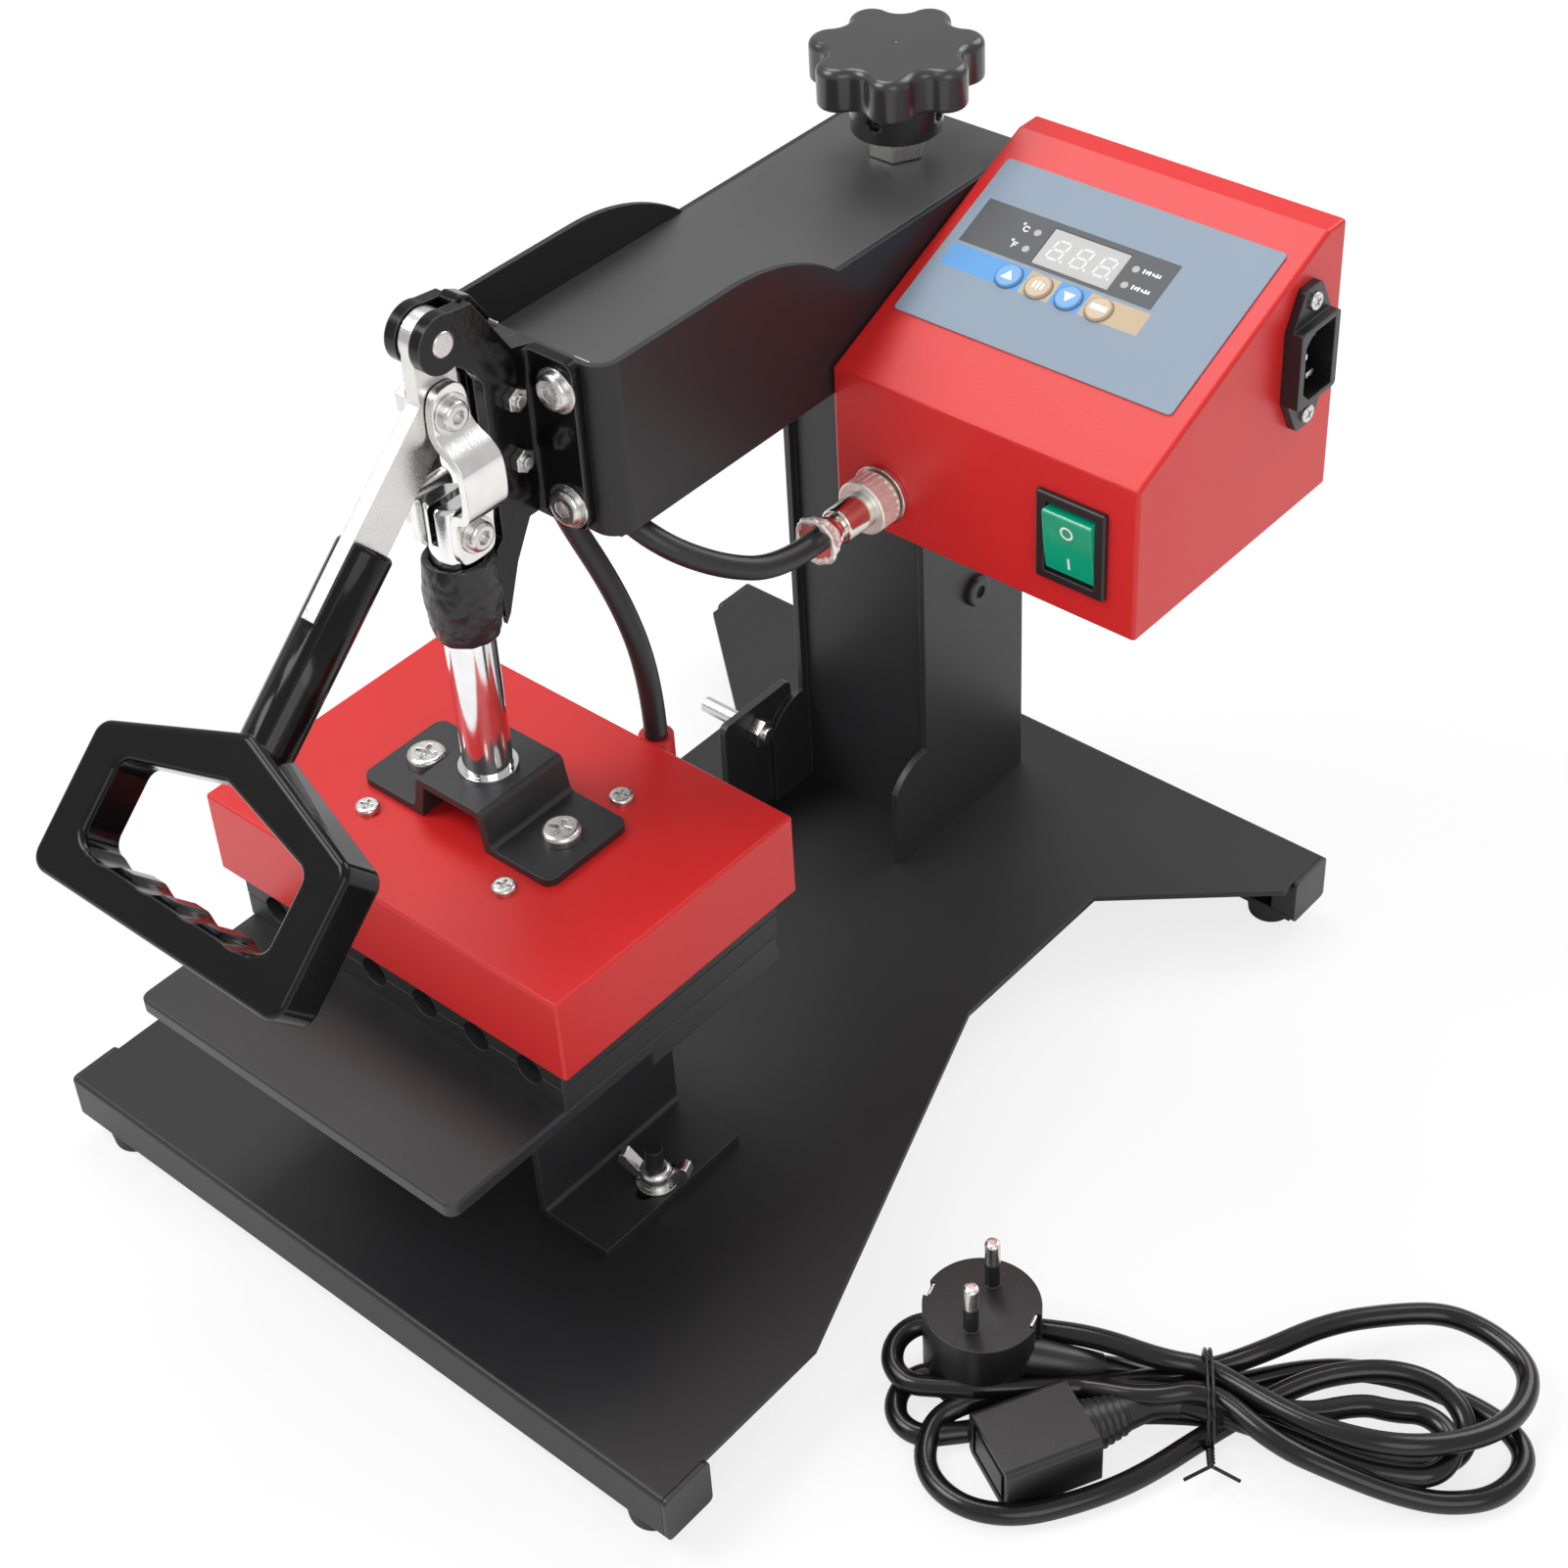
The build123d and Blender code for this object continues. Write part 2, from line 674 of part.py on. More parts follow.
def clamp_half(side):
    """Half of the toggle's bracket: ear and gusset in one with half of the mounting flange."""
    half = side_profile(clamp_side_face(), ear_inner, ear_outer)
    half += rod_x_axis(ear_inner, ear_outer, 0, pin_a_z, ear_radius)
    web_front = clamp_web_front + 2.5
    middle = [(arm_front, clamp_flange_top), (arm_front - ear_radius, clamp_flange_top + 2.5),
              (web_front, pin_a_z + 2), (web_front, sleeve_bottom + (sleeve_top - sleeve_bottom) / 2)]
    half += side_profile(middle + clamp_rear_edge()[1:], 0, ear_inner)
    face = arm_front - clamp_flange_thick
    flange = block(0, clamp_flange_width / 2, face, arm_front, clamp_flange_bottom, clamp_flange_top)
    half += fillet([e for e in flange.edges().filter_by(Axis.Y) if e.center().X > 1], clamp_flange_thick)
    root = [e for e in half.edges().filter_by(Axis.Z)
            if abs(e.center().X - ear_outer) < 0.01 and abs(e.center().Y - face) < 0.01]
    if root:
        half = fillet(root, clamp_root)
    half -= rod_z_axis(0, 0, sleeve_bottom - 1, sleeve_top + 1, sleeve_radius)
    half -= rod_x_axis(0, ear_outer + 1, 0, pin_a_z, pin_radius)
    for z in rivet_zs:
        half -= rod_x_axis(-1, ear_outer + 1, rivet_y, z, rivet_radius)
    for z in clamp_bolt_zs:
        half -= rod_y_axis(clamp_bolt_x, face - 1, arm_front + 1, z, clamp_bolt_radius)
    return half if side > 0 else mirror(half, about=Plane.YZ)


def clamp_bolts():
    """Four flange bolts with nuts inside the arm, and the two small bolts that join the halves."""
    solids = []
    face = arm_front - clamp_flange_thick
    inside = arm_front + arm_sheet
    for x in (-clamp_bolt_x, clamp_bolt_x):
        for z in clamp_bolt_zs:
            bolt = rod_y_axis(x, face, inside + 6, z, clamp_bolt_radius)
            bolt += Pos(x, face, z) * Rot(90, 0, 0) * pan_head(6, 3.6)
            bolt += Pos(x, inside, z) * Rot(-90, 0, 0) * extrude(
                RegularPolygon(5, 6, major_radius=False), 5)
            solids.append(bolt)
    for z in rivet_zs:
        pin = rod_x_axis(-ear_outer - 3.5, ear_outer + 4.5, rivet_y, z, rivet_radius)
        pin += hex_x(ear_outer, ear_outer + 3, rivet_y, z, 7)
        pin += hex_x(-ear_outer - 2.8, -ear_outer, rivet_y, z, 7)
        solids.append(pin)
    return solids


def guide_sleeve():
    sleeve = rod_z_axis(0, 0, sleeve_bottom, sleeve_top, sleeve_radius)
    sleeve = fillet(sleeve.edges().sort_by(Axis.Z)[0], 1.2)
    return sleeve - rod_z_axis(0, 0, sleeve_bottom - 1, sleeve_top + 1, plunger_radius + run_play)


def lever_pin():
    pin = rod_x_axis(-ear_outer, ear_outer, 0, pin_a_z, pin_radius)
    for turn in (90, -90):
        side = 1 if turn > 0 else -1
        pin += Pos(side * ear_outer, 0, pin_a_z) * Rot(0, turn, 0) * pan_head(pin_head_radius, pin_head_height)
    return pin


# Lever and handle, drawn along the handle's own line

def along(s, out=0.0):
    """A point in (y, z) at s along the handle from the link bolt, out away from it towards the top."""
    slope = radians(lever_slope)
    return (-s * cos(slope) - out * sin(slope), pin_b_z - s * sin(slope) + out * cos(slope))


def handle_plane():
    """The plane of the grip's loop: its x is the press's x, its y runs down the handle."""
    slope = radians(lever_slope)
    return Plane(origin=(0, 0, pin_b_z), x_dir=(1, 0, 0), z_dir=(0, sin(slope), -cos(slope)))


def lever_plate():
    half = lever_thick / 2
    plate = rod_x_axis(-half, half, 0, pin_a_z, 8.5) + rod_x_axis(-half, half, 0, pin_b_z, 9)
    plate += block(-half, half, -8, 7.5, pin_b_z, pin_a_z)
    width = lever_width / 2
    strap = [along(0, -width + 1), along(strap_length, -width + 1), along(strap_length, width + 1), along(0, width + 1)]
    plate += side_profile(strap, -half, half)
    plate -= rod_x_axis(-half - 1, half + 1, 0, pin_a_z, pin_radius + run_play)
    return plate - rod_x_axis(-half - 1, half + 1, 0, pin_b_z, bolt_b_radius)


def link_bolt():
    """The bolt through the lever that both links turn on."""
    inner = lever_thick / 2 + link_play + link_thick
    bolt = rod_x_axis(-inner - 6, inner + 0.2, 0, pin_b_z, bolt_b_radius)
    bolt += Pos(inner + 0.2, 0, pin_b_z) * Rot(0, 90, 0) * pan_head(4.8, 3.4)
    return bolt + hex_x(-inner - 5.2, -inner - 0.2, 0, pin_b_z, 10)


def grip_outline(inset):
    """The home-plate shape of the grip, offset inwards by inset."""
    half = grip_half_width - inset
    end = grip_end - inset
    top = grip_shoulder + inset * 0.5
    apex = grip_apex + inset * 1.09
    return [(0, apex), (half, top), (half, end), (-half, end), (-half, top)]


def grip():
    """Handle tube and grip loop moulded in one piece, with finger grooves in the bar."""
    plane = handle_plane()
    flip = [(x, y) for x, y in grip_outline(0)]
    hole = [(x, y) for x, y in grip_outline(grip_bar)]
    outer = make_face(Polyline(*flip, close=True))
    outer = fillet(outer.vertices(), 6)
    window = make_face(Polyline(*hole, close=True))
    window = fillet(window.vertices(), 5)
    loop = Pos(0, 0, -grip_lift) * extrude(outer - window, grip_thick / 2, both=True)
    loop = fillet(loop.edges().group_by(Axis.Z)[0] + loop.edges().group_by(Axis.Z)[-1], 2.2)
    bar_inner = grip_end - grip_bar
    for i in range(4):
        x = (i - 1.5) * groove_pitch
        loop -= Pos(x, bar_inner + groove_depth - groove_radius, 0) * Cylinder(groove_radius, 2 * grip_thick)
    tube = Pos(0, (tube_start + grip_apex + 8) / 2, 0) * Rot(90, 0, 0) * Cylinder(
        tube_radius, grip_apex + 8 - tube_start)
    tube = fillet(tube.edges().sort_by(Axis.Y)[0], 2)
    bore_half = lever_thick / 2
    width = lever_width / 2
    bore = Pos(0, (tube_start + strap_length) / 2, -1) * Box(
        2 * bore_half, strap_length - tube_start + 2, 2 * width)
    solid = (loop + tube) - Pos(0, -1, 0) * bore
    return plane * solid


# Links between lever and plunger

def link_shape():
    """A cranked link on the right: close to the lever above, beside the plunger's head below."""
    top_in = lever_thick / 2 + link_play
    low_in = plunger_flat + link_play
    upper = pin_b_z - 9
    lower = pin_b_z - 23
    ends = link_width / 2 + 1
    path = [(top_in, pin_b_z + ends), (top_in, upper), (low_in, lower), (low_in, pin_c_z - ends),
            (low_in + link_thick, pin_c_z - ends), (low_in + link_thick, lower + 0.6),
            (top_in + link_thick, upper + 0.6), (top_in + link_thick, pin_b_z + ends)]
    plate = front_profile(path, -link_width / 2, link_width / 2)
    half = link_width / 2
    stadium = rod_x_axis(0, 20, 0, pin_b_z, half) + rod_x_axis(0, 20, 0, pin_c_z, half)
    stadium += block(0, 20, -half, half, pin_c_z, pin_b_z)
    plate = plate & stadium
    plate -= rod_x_axis(0, 20, 0, pin_b_z, bolt_b_radius + run_play)
    return plate - rod_x_axis(0, 20, 0, pin_c_z, bolt_b_radius)


def link_studs():
    """The plunger bolt's two ends, one riveted into each link."""
    inner = plunger_flat + link_play
    outer = inner + link_thick
    right = rod_x_axis(inner, outer, 0, pin_c_z, bolt_b_radius)
    right += Pos(outer, 0, pin_c_z) * Rot(0, 90, 0) * pan_head(4.8, 3.4)
    left = rod_x_axis(-outer - 6, -inner, 0, pin_c_z, bolt_b_radius)
    left += hex_x(-outer - 5, -outer, 0, pin_c_z, 10)
    return [right, left]


# Plunger and heated platen

def plunger():
    rod = rod_z_axis(0, 0, plunger_bottom, head_top, plunger_radius)
    rod = chamfer(rod.edges().sort_by(Axis.Z)[-1], 1)
    neck = pin_c_z - head_below_bolt
    for side in (-1, 1):
        near = side * plunger_flat
        far = side * (plunger_radius + 1)
        rod -= block(min(near, far), max(near, far), -plunger_radius - 1, plunger_radius + 1, neck, head_top + 1)
    rod -= block(-head_slot / 2, head_slot / 2, -plunger_radius - 1, plunger_radius + 1, pin_c_z - 4, head_top + 1)
    hat_top = cover_top + hat_height
    rod += rod_z_axis(0, 0, hat_top, hat_top + 1.6, plunger_radius + 1.6)
    nut_top = hat_top - hat_sheet
    nut = Pos(0, 0, nut_top - 7) * extrude(RegularPolygon(10, 6, major_radius=False), 7)
    return rod + nut


def hat_bracket():
    """The folded bracket that carries the plunger above the cover."""
    low = cover_top
    top = cover_top + hat_height
    half = hat_length / 2
    t = hat_sheet
    slant_in = hat_half_foot - t * 1.02
    right = [(half, low), (half, low + t), (hat_half_foot, low + t), (hat_half_top, top)]
    left = [(-x, z) for x, z in reversed(right)]
    under = [(-slant_in, low), (-hat_half_top + t * 1.0, top - t), (hat_half_top - t * 1.0, top - t), (slant_in, low)]
    body = front_profile(right + left + under, -hat_depth / 2, hat_depth / 2)
    folds = [e for e in body.edges().filter_by(Axis.Y)
             if abs(e.center().Z - top) < 0.01 or (abs(e.center().Z - low - t) < 0.01 and abs(e.center().X) < half - 1)]
    body = fillet(folds, 2.2)
    body = fillet([e for e in body.edges().filter_by(Axis.Z) if abs(e.center().X) > half - 1], 4)
    body -= rod_z_axis(0, 0, top - t - 1, top + 1, plunger_radius)
    for x in (-hat_screw_x, hat_screw_x):
        body -= rod_z_axis(x, 0, low - 1, low + t + 1, hat_screw_radius)
    return body


def hat_screws():
    solids = []
    for x in (-hat_screw_x, hat_screw_x):
        top = cover_top + hat_sheet
        screw = rod_z_axis(x, 0, cover_top - cover_sheet - 7, top, hat_screw_radius)
        screw += Pos(x, 0, top) * pan_head(6.5, 3.8)
        nut_low = cover_top - cover_sheet - 5
        screw += Pos(x, 0, nut_low) * extrude(RegularPolygon(5, 6, major_radius=False), 5)
        solids.append(screw)
    return solids


def cover_screw_places():
    return [(x, y) for x in (-cover_screw_x, cover_screw_x) for y in (-cover_screw_y, cover_screw_y)]


def platen_cover():
    shell = block(-cover_length / 2, cover_length / 2, -cover_depth / 2, cover_depth / 2, cover_bottom, cover_top)
    shell = fillet(shell.edges().filter_by(Axis.Z) + shell.edges().group_by(Axis.Z)[-1], 1.2)
    t = cover_sheet
    shell -= block(-cover_length / 2 + t, cover_length / 2 - t, -cover_depth / 2 + t, cover_depth / 2 - t,
                   cover_bottom - 1, cover_top - t)
    for x in (-hat_screw_x, hat_screw_x):
        shell -= rod_z_axis(x, 0, cover_top - t - 1, cover_top + 1, hat_screw_radius)
    for x, y in cover_screw_places():
        shell -= rod_z_axis(x, y, cover_top - t - 1, cover_top + 1, cover_screw_radius)
    end_x, end_y, end_z = elbow_point
    boot_radius = lead_radius + 2
    boot_z = cover_bottom + boot_radius + 4
    boot = rod_y_axis(end_x, cover_depth / 2, end_y, boot_z, boot_radius)
    boot += Pos(end_x, end_y, boot_z) * Sphere(boot_radius)
    boot += rod_z_axis(end_x, end_y, boot_z, end_z, boot_radius)
    return shell + boot


def cover_screws():
    solids = []
    for x, y in cover_screw_places():
        screw = rod_z_axis(x, y, block_top - 8, cover_top, cover_screw_radius)
        screws_spacer = rod_z_axis(x, y, block_top + insulation_thick, cover_top - cover_sheet, 3.5)
        screw += Pos(x, y, cover_top) * pan_head(4.0, 2.4)
        solids.append(screw + screws_spacer)
    return solids


def pen_xs():
    return [(i - (pen_count - 1) / 2) * pen_pitch for i in range(pen_count)]


def pen_grooves():
    depth = block_depth / 2 + 1
    return [rod_y_axis(x, -depth, depth, pen_axis_z, pen_radius) for x in pen_xs()]


def heater_block():
    """The upper half of the pen mould, with the heater rods across it."""
    body = block(-block_length / 2, block_length / 2, -block_depth / 2, block_depth / 2, block_bottom, block_top)
    for groove in pen_grooves():
        body -= groove
    for y in (-rod_y, rod_y):
        body -= rod_x_axis(-block_length / 2 - 1, block_length / 2 + 1, y, rod_z, rod_radius)
    for x, y in cover_screw_places():
        body -= rod_z_axis(x, y, block_top - 8, block_top + 1, cover_screw_radius)
    return body


def heater_rods():
    half = block_length / 2
    return [rod_x_axis(-half, half, y, rod_z, rod_radius) for y in (-rod_y, rod_y)]


def insulation():
    half_x = block_length / 2
    half_y = block_depth / 2
    pad = block(-half_x, half_x, -half_y, half_y, block_top, block_top + insulation_thick)
    for x, y in cover_screw_places():
        pad -= rod_z_axis(x, y, block_top - 1, block_top + insulation_thick + 1, cover_screw_radius)
    return pad


# Lower table

def pen_tray():
    """The lower half of the pen mould, which lies on the table."""
    body = block(-block_length / 2, block_length / 2, -block_depth / 2, block_depth / 2, table_top, tray_top)
    for groove in pen_grooves():
        body -= groove
    return body


def table_plate():
    plate = block(-table_width / 2, table_width / 2, table_front, table_front + table_depth, table_bottom, table_top)
    plate = fillet(plate.edges().filter_by(Axis.Z), 4)
    plate = chamfer(plate.edges().group_by(Axis.Z)[-1], 0.8)
    for side in (-1, 1):
        outer = side * table_width / 2
        inner = side * (table_width / 2 - rail_width)
        plate += block(min(inner, outer), max(inner, outer), rail_front, rail_rear,
                       table_bottom - rail_height, table_bottom)
    return plate


def table_bracket():
    """The folded support under the table, with slotted feet for the wing nuts."""
    t = bracket_sheet
    reach = bracket_half + foot_reach
    right = [(bracket_half - t, table_bottom - t), (bracket_half - t, base_top), (reach, base_top),
             (reach, base_top + t), (bracket_half, base_top + t), (bracket_half, table_bottom)]
    left = [(-x, z) for x, z in reversed(right)]
    body = front_profile(right + left, bracket_front, bracket_rear)
    folds = [e for e in body.edges().filter_by(Axis.Y)
             if abs(abs(e.center().X) - bracket_half) < 0.01]
    body = fillet(folds, 2)
    slot = stud_radius + 0.2
    for x in (-stud_x, stud_x):
        body -= block(x - slot, x + slot, stud_y - table_travel, stud_y + table_travel, base_top - 1, base_top + t + 1)
        for end in (-table_travel, table_travel):
            body -= rod_z_axis(x, stud_y + end, base_top - 1, base_top + t + 1, slot)
    return body


def wing_nut(x):
    """A wing nut with a domed hub and two blunt ears that sweep up, standing on the slotted foot."""
    low = base_top + bracket_sheet + 0.2
    hub = Cylinder(wing_hub_radius, 7, align=(Align.CENTER, Align.CENTER, Align.MIN))
    hub = fillet(hub.edges().sort_by(Axis.Z)[-1], 2.5)
    tip = wing_span
    ear = [(2.5, 1.0), (6.0, 1.6), (tip, 7.5), (tip - 0.8, 11.0), (tip - 2.6, 11.6), (5.5, 6.0), (2.5, 5.0)]
    plate = extrude(Plane.XZ * make_face(Polyline(*ear, close=True)), wing_thick / 2, both=True)
    plate = fillet([e for e in plate.edges().filter_by(Axis.Y) if e.center().X > 8], 0.8)
    washer = Cylinder(wing_hub_radius + 1.6, 1, align=(Align.CENTER, Align.CENTER, Align.MIN))
    nut = hub + washer + plate + mirror(plate, about=Plane.YZ)
    nut -= Cylinder(stud_radius + run_play, 40)
    return Pos(x, stud_y, low) * Rot(0, 0, wing_turned) * nut


# Control box

def slope_plane():
    """The box's sloping face: x is the press's x, y runs up the slope, z points out of it."""
    angle = radians(slope_angle)
    return Plane(origin=(0, box_front, slope_start_z), x_dir=(1, 0, 0), z_dir=(0, -sin(angle), cos(angle)))


def box_outline(grow=0.0):
    """The box in (y, z), each face moved in by grow."""
    angle = radians(slope_angle)
    top = box_top - grow
    front = box_front + grow
    lift = grow / cos(angle)
    corner_z = slope_start_z + grow * tan(angle) - lift
    corner_y = box_front + (top - slope_start_z + lift) / tan(angle)
    return [(front, box_bottom), (box_rear, box_bottom), (box_rear, top), (corner_y, top), (front, corner_z)]


def box_shell():
    shell = side_profile(box_outline(), box_left, box_right)
    rounded = [e for e in shell.edges() if e.center().Z > box_bottom + 1 and e.center().Y < box_rear - 0.5]
    shell = fillet(rounded, 1.2)
    inside = [(box_front + box_sheet, box_bottom - 1), (box_rear + 1, box_bottom - 1)] + [
        (y if y < box_rear else box_rear + 1, z) for y, z in box_outline(box_sheet)[2:]]
    shell -= side_profile(inside, box_left + box_sheet, box_right - box_sheet)
    plane = slope_plane()
    for x in key_xs:
        shell -= plane * Pos(x, key_s, 0) * Cylinder(key_radius + 0.2, 10)
    shell -= plane * Pos(display_x, display_s, 0) * Box(display_width + 0.4, display_height + 0.4, 10)
    shell -= block(switch_x - bezel_width / 2 + 1.6, switch_x + bezel_width / 2 - 1.6, box_front - 1,
                   box_front + box_sheet + 1, switch_z - bezel_height / 2 + 1.4, switch_z + bezel_height / 2 - 1.4)
    shell -= rod_y_axis(socket_x, box_front - 1, box_front + box_sheet + 1, socket_z, socket_radius + 0.8)
    hole_y = inlet_half_width - 0.9
    hole_z = inlet_half_height - 0.6
    shell -= block(box_right - box_sheet - 1, box_right + 1, inlet_y - hole_y, inlet_y + hole_y,
                   inlet_z - hole_z, inlet_z + hole_z)
    for z in inlet_screw_zs():
        shell -= rod_x_axis(box_right - box_sheet - 1, box_right + 1, inlet_y, z, inlet_screw_radius)
    for y in mount_ys:
        shell -= rod_x_axis(box_left - 1, box_left + box_sheet + 1, y, mount_z, mount_radius)
    return shell


def inlet_screw_zs():
    return (inlet_z - inlet_pitch / 2, inlet_z + inlet_pitch / 2)


def back_screw_places():
    inset = 10
    return [(x, z) for x in (box_left + inset, box_right - inset) for z in (box_bottom + inset, box_top - inset)]


def box_back():
    """The L-shaped sheet that closes the box behind and below, with vents and turned-in tabs."""
    t = box_sheet
    left = box_left + t
    right = box_right - t
    rear = block(left, right, box_rear - t, box_rear, box_bottom, box_top - t)
    floor = block(left, right, box_front + t, box_rear - t, box_bottom, box_bottom + t)
    body = rear + floor
    for i in range(6):
        x = (left + right) / 2 + (i - 2.5) * 9
        body -= block(x - 1.6, x + 1.6, box_rear - t - 1, box_rear + 1, box_bottom + 30, box_bottom + 60)
    for x, z in back_screw_places():
        body -= rod_y_axis(x, box_rear - t - 1, box_rear + 1, z, 1.5)
    return body


def box_screws():
    """Small pan head screws: four in the back, each into a corner block, and two in the inlet."""
    solids = []
    for x, z in back_screw_places():
        screw = rod_y_axis(x, box_rear - box_sheet - 6, box_rear, z, 1.5)
        screw += Pos(x, box_rear, z) * Rot(-90, 0, 0) * pan_head(3, 1.8)
        solids.append(screw)
    face = box_right + inlet_flange
    for z in inlet_screw_zs():
        screw = rod_x_axis(box_right - 6, face, inlet_y, z, inlet_screw_radius)
        screw += Pos(face, inlet_y, z) * Rot(0, 90, 0) * pan_head(3, 1.6)
        screw += hex_x(box_right - box_sheet - 2.4, box_right - box_sheet, inlet_y, z, 5.5)
        solids.append(screw)
    return solids


def corner_blocks():
    """Threaded blocks in the box's corners that the back screws go into."""
    solids = []
    for x, z in back_screw_places():
        toward_left = x < (box_left + box_right) / 2
        x0 = box_left + box_sheet if toward_left else x - 4
        x1 = x + 4 if toward_left else box_right - box_sheet
        body = block(x0, x1, box_rear - box_sheet - 8, box_rear - box_sheet, z - 4, z + 4)
        solids.append(body - rod_y_axis(x, box_rear - 20, box_rear, z, 1.5))
    return solids


def box_mounts():
    """Two bolts with spacer collars that hold the box to the column's right cheek."""
    solids = []
    inner = half_column - column_sheet
    for y in mount_ys:
        bolt = rod_x_axis(inner - 6, box_left + box_sheet, y, mount_z, mount_radius)
        bolt += rod_x_axis(half_column, box_left, y, mount_z, mount_radius + 3)
        bolt += Pos(box_left + box_sheet, y, mount_z) * Rot(0, 90, 0) * pan_head(6, 3.6)
        bolt += hex_x(inner - 5, inner, y, mount_z, 10)
        solids.append(bolt)
    return solids


def panel_overlay():
    """The thin keypad sheet stuck on the slope, with a window for the display."""
    plane = slope_plane()
    sheet = Pos(panel_left + panel_width / 2, panel_low + panel_height / 2, panel_thick / 2) * Box(
        panel_width, panel_height, panel_thick)
    sheet = fillet(sheet.edges().filter_by(Axis.Z), 1.5)
    sheet -= Pos(display_x, display_s, 0) * Box(display_width + 0.2, display_height + 0.2, 5)
    for x in key_xs:
        sheet -= Pos(x, key_s, 0) * Cylinder(key_radius + 0.2, 5)
    return plane * sheet


def display():
    """The seven segment display, which stands on the board and fills the window."""
    plane = slope_plane()
    high = panel_thick - 0.2
    tall = high + board_depth
    return plane * Pos(display_x, display_s, high - tall / 2) * Box(display_width, display_height, tall)


def key(x):
    """A press button with a stem that ends just above its switch on the board."""
    plane = slope_plane()
    high = panel_thick + key_proud
    cap = Pos(0, 0, high - key_depth) * Cylinder(key_radius, key_depth, align=(Align.CENTER, Align.CENTER, Align.MIN))
    cap = fillet(cap.edges().sort_by(Axis.Z)[-1], 0.6)
    return plane * Pos(x, key_s, 0) * cap


def control_board():
    """The circuit board under the slope with the key switches, on four posts, and a power relay."""
    plane = slope_plane()
    board_x = panel_left + panel_width / 2
    board_s = panel_low + panel_height / 2
    board = Pos(board_x, board_s, -board_depth - 0.8) * Box(panel_width - 14, panel_height - 12, 1.6)
    for x in key_xs:
        gap = key_travel + 0.1
        top = panel_thick + key_proud - key_depth - gap
        board += Pos(x, key_s, (top - board_depth) / 2) * Box(6, 6, top + board_depth)
    for side in (-1, 1):
        for end in (-1, 1):
            x = board_x + side * (panel_width / 2 - 11)
            s = board_s + end * (panel_height / 2 - 9)
            board += Pos(x, s, -(board_depth + box_sheet) / 2) * Cylinder(2.5, board_depth - box_sheet)
    board += Pos(board_x + 6, board_s - 4, -board_depth - 1.6 - 7) * Box(28, 20, 14)
    return plane * board


def switch_bezel():
    """The rocker switch's frame and its body behind the panel."""
    y0 = box_front - bezel_proud
    frame = block(switch_x - bezel_width / 2, switch_x + bezel_width / 2, y0, box_front,
                  switch_z - bezel_height / 2, switch_z + bezel_height / 2)
    frame = fillet(frame.edges().filter_by(Axis.Y) + frame.edges().group_by(Axis.Y)[0], 0.8)
    body_half = bezel_width / 2 - 1.8
    body_high = bezel_height / 2 - 1.6
    body = block(switch_x - body_half, switch_x + body_half, box_front, box_front + 19,
                 switch_z - body_high, switch_z + body_high)
    well_half = rocker_width / 2 + 0.2
    well = block(switch_x - well_half, switch_x + well_half, y0 - 5, box_front + 9,
                 switch_z - rocker_half - 0.9, switch_z + rocker_half + 0.9)
    pins = [block(switch_x - 3.2, switch_x + 3.2, box_front + 19, box_front + 27, z - 0.4, z + 0.4)
            for z in (switch_z - 9, switch_z, switch_z + 9)]
    solid = frame + body - well
    for pin in pins:
        solid += pin
    return solid - rod_x_axis(switch_x - body_half, switch_x + body_half, rocker_pivot_y(), switch_z, 1.5)


def rocker_pivot_y():
    return box_front + 2.0


def rocker():
    """The rocking cap, tipped to its off side, with a pivot stub at each end."""
    front = -6.2
    low = -4.6
    face = [(front + 1.2, 0), (low, rocker_half), (3.4, rocker_half - 1.5), (3.4, -rocker_half + 1.5), (low, -rocker_half)]
    plate = extrude(Plane.YZ.offset(-rocker_width / 2) * make_face(Polyline(*face, close=True)), rocker_width)
    plate = fillet([e for e in plate.edges().filter_by(Axis.X) if e.center().Y < low + 1], 1.0)
    plate += rod_x_axis(-rocker_width / 2 - 1.6, rocker_width / 2 + 1.6, 0, 0, 1.5 - run_play)
    return Pos(switch_x, rocker_pivot_y(), switch_z) * Rot(rocker_tilt, 0, 0) * plate


def inlet_plane():
    """The inlet's place on the box's side: x runs to the rear, y up, z out of the box."""
    return Plane(origin=(box_right, inlet_y, inlet_z), x_dir=(0, 1, 0), z_dir=(1, 0, 0))


def mains_inlet():
    """The appliance inlet: screw flange, raised collar, socket well and a body inside the box."""
    ear = inlet_pitch / 2 + 5
    narrow = inlet_half_width * 0.42
    side = [(inlet_half_width, -inlet_half_height + 1), (inlet_half_width, inlet_half_height - 1), (narrow, ear)]
    outline = [(narrow, -ear)] + side
    flange = make_face(Polyline(*(outline + [(-x, y) for x, y in reversed(outline)]), close=True))
    flange = extrude(fillet(flange.vertices(), 2), inlet_flange)
    collar = extrude(Rectangle(2 * inlet_half_width, 2 * inlet_half_height), inlet_proud)
    collar = fillet(collar.edges().filter_by(Axis.Z), 1.5)
    body = Pos(0, 0, -inlet_depth / 2) * Box(2 * inlet_half_width - 2, 2 * inlet_half_height - 1.5, inlet_depth)
    w = well_half_width
    h = well_half_height
    slant = [(-w, h - well_corner), (-w + well_corner, h), (w, h)]
    well = make_face(Polyline(*(slant + [(x, -y) for x, y in reversed(slant)]), close=True))
    well = Pos(0, 0, inlet_proud - well_depth) * extrude(well, well_depth + 1)
    solid = flange + collar + body - well
    for y in (-inlet_pitch / 2, inlet_pitch / 2):
        solid -= Pos(0, y, 0) * Cylinder(inlet_screw_radius, 4 * inlet_flange)
    return inlet_plane() * solid


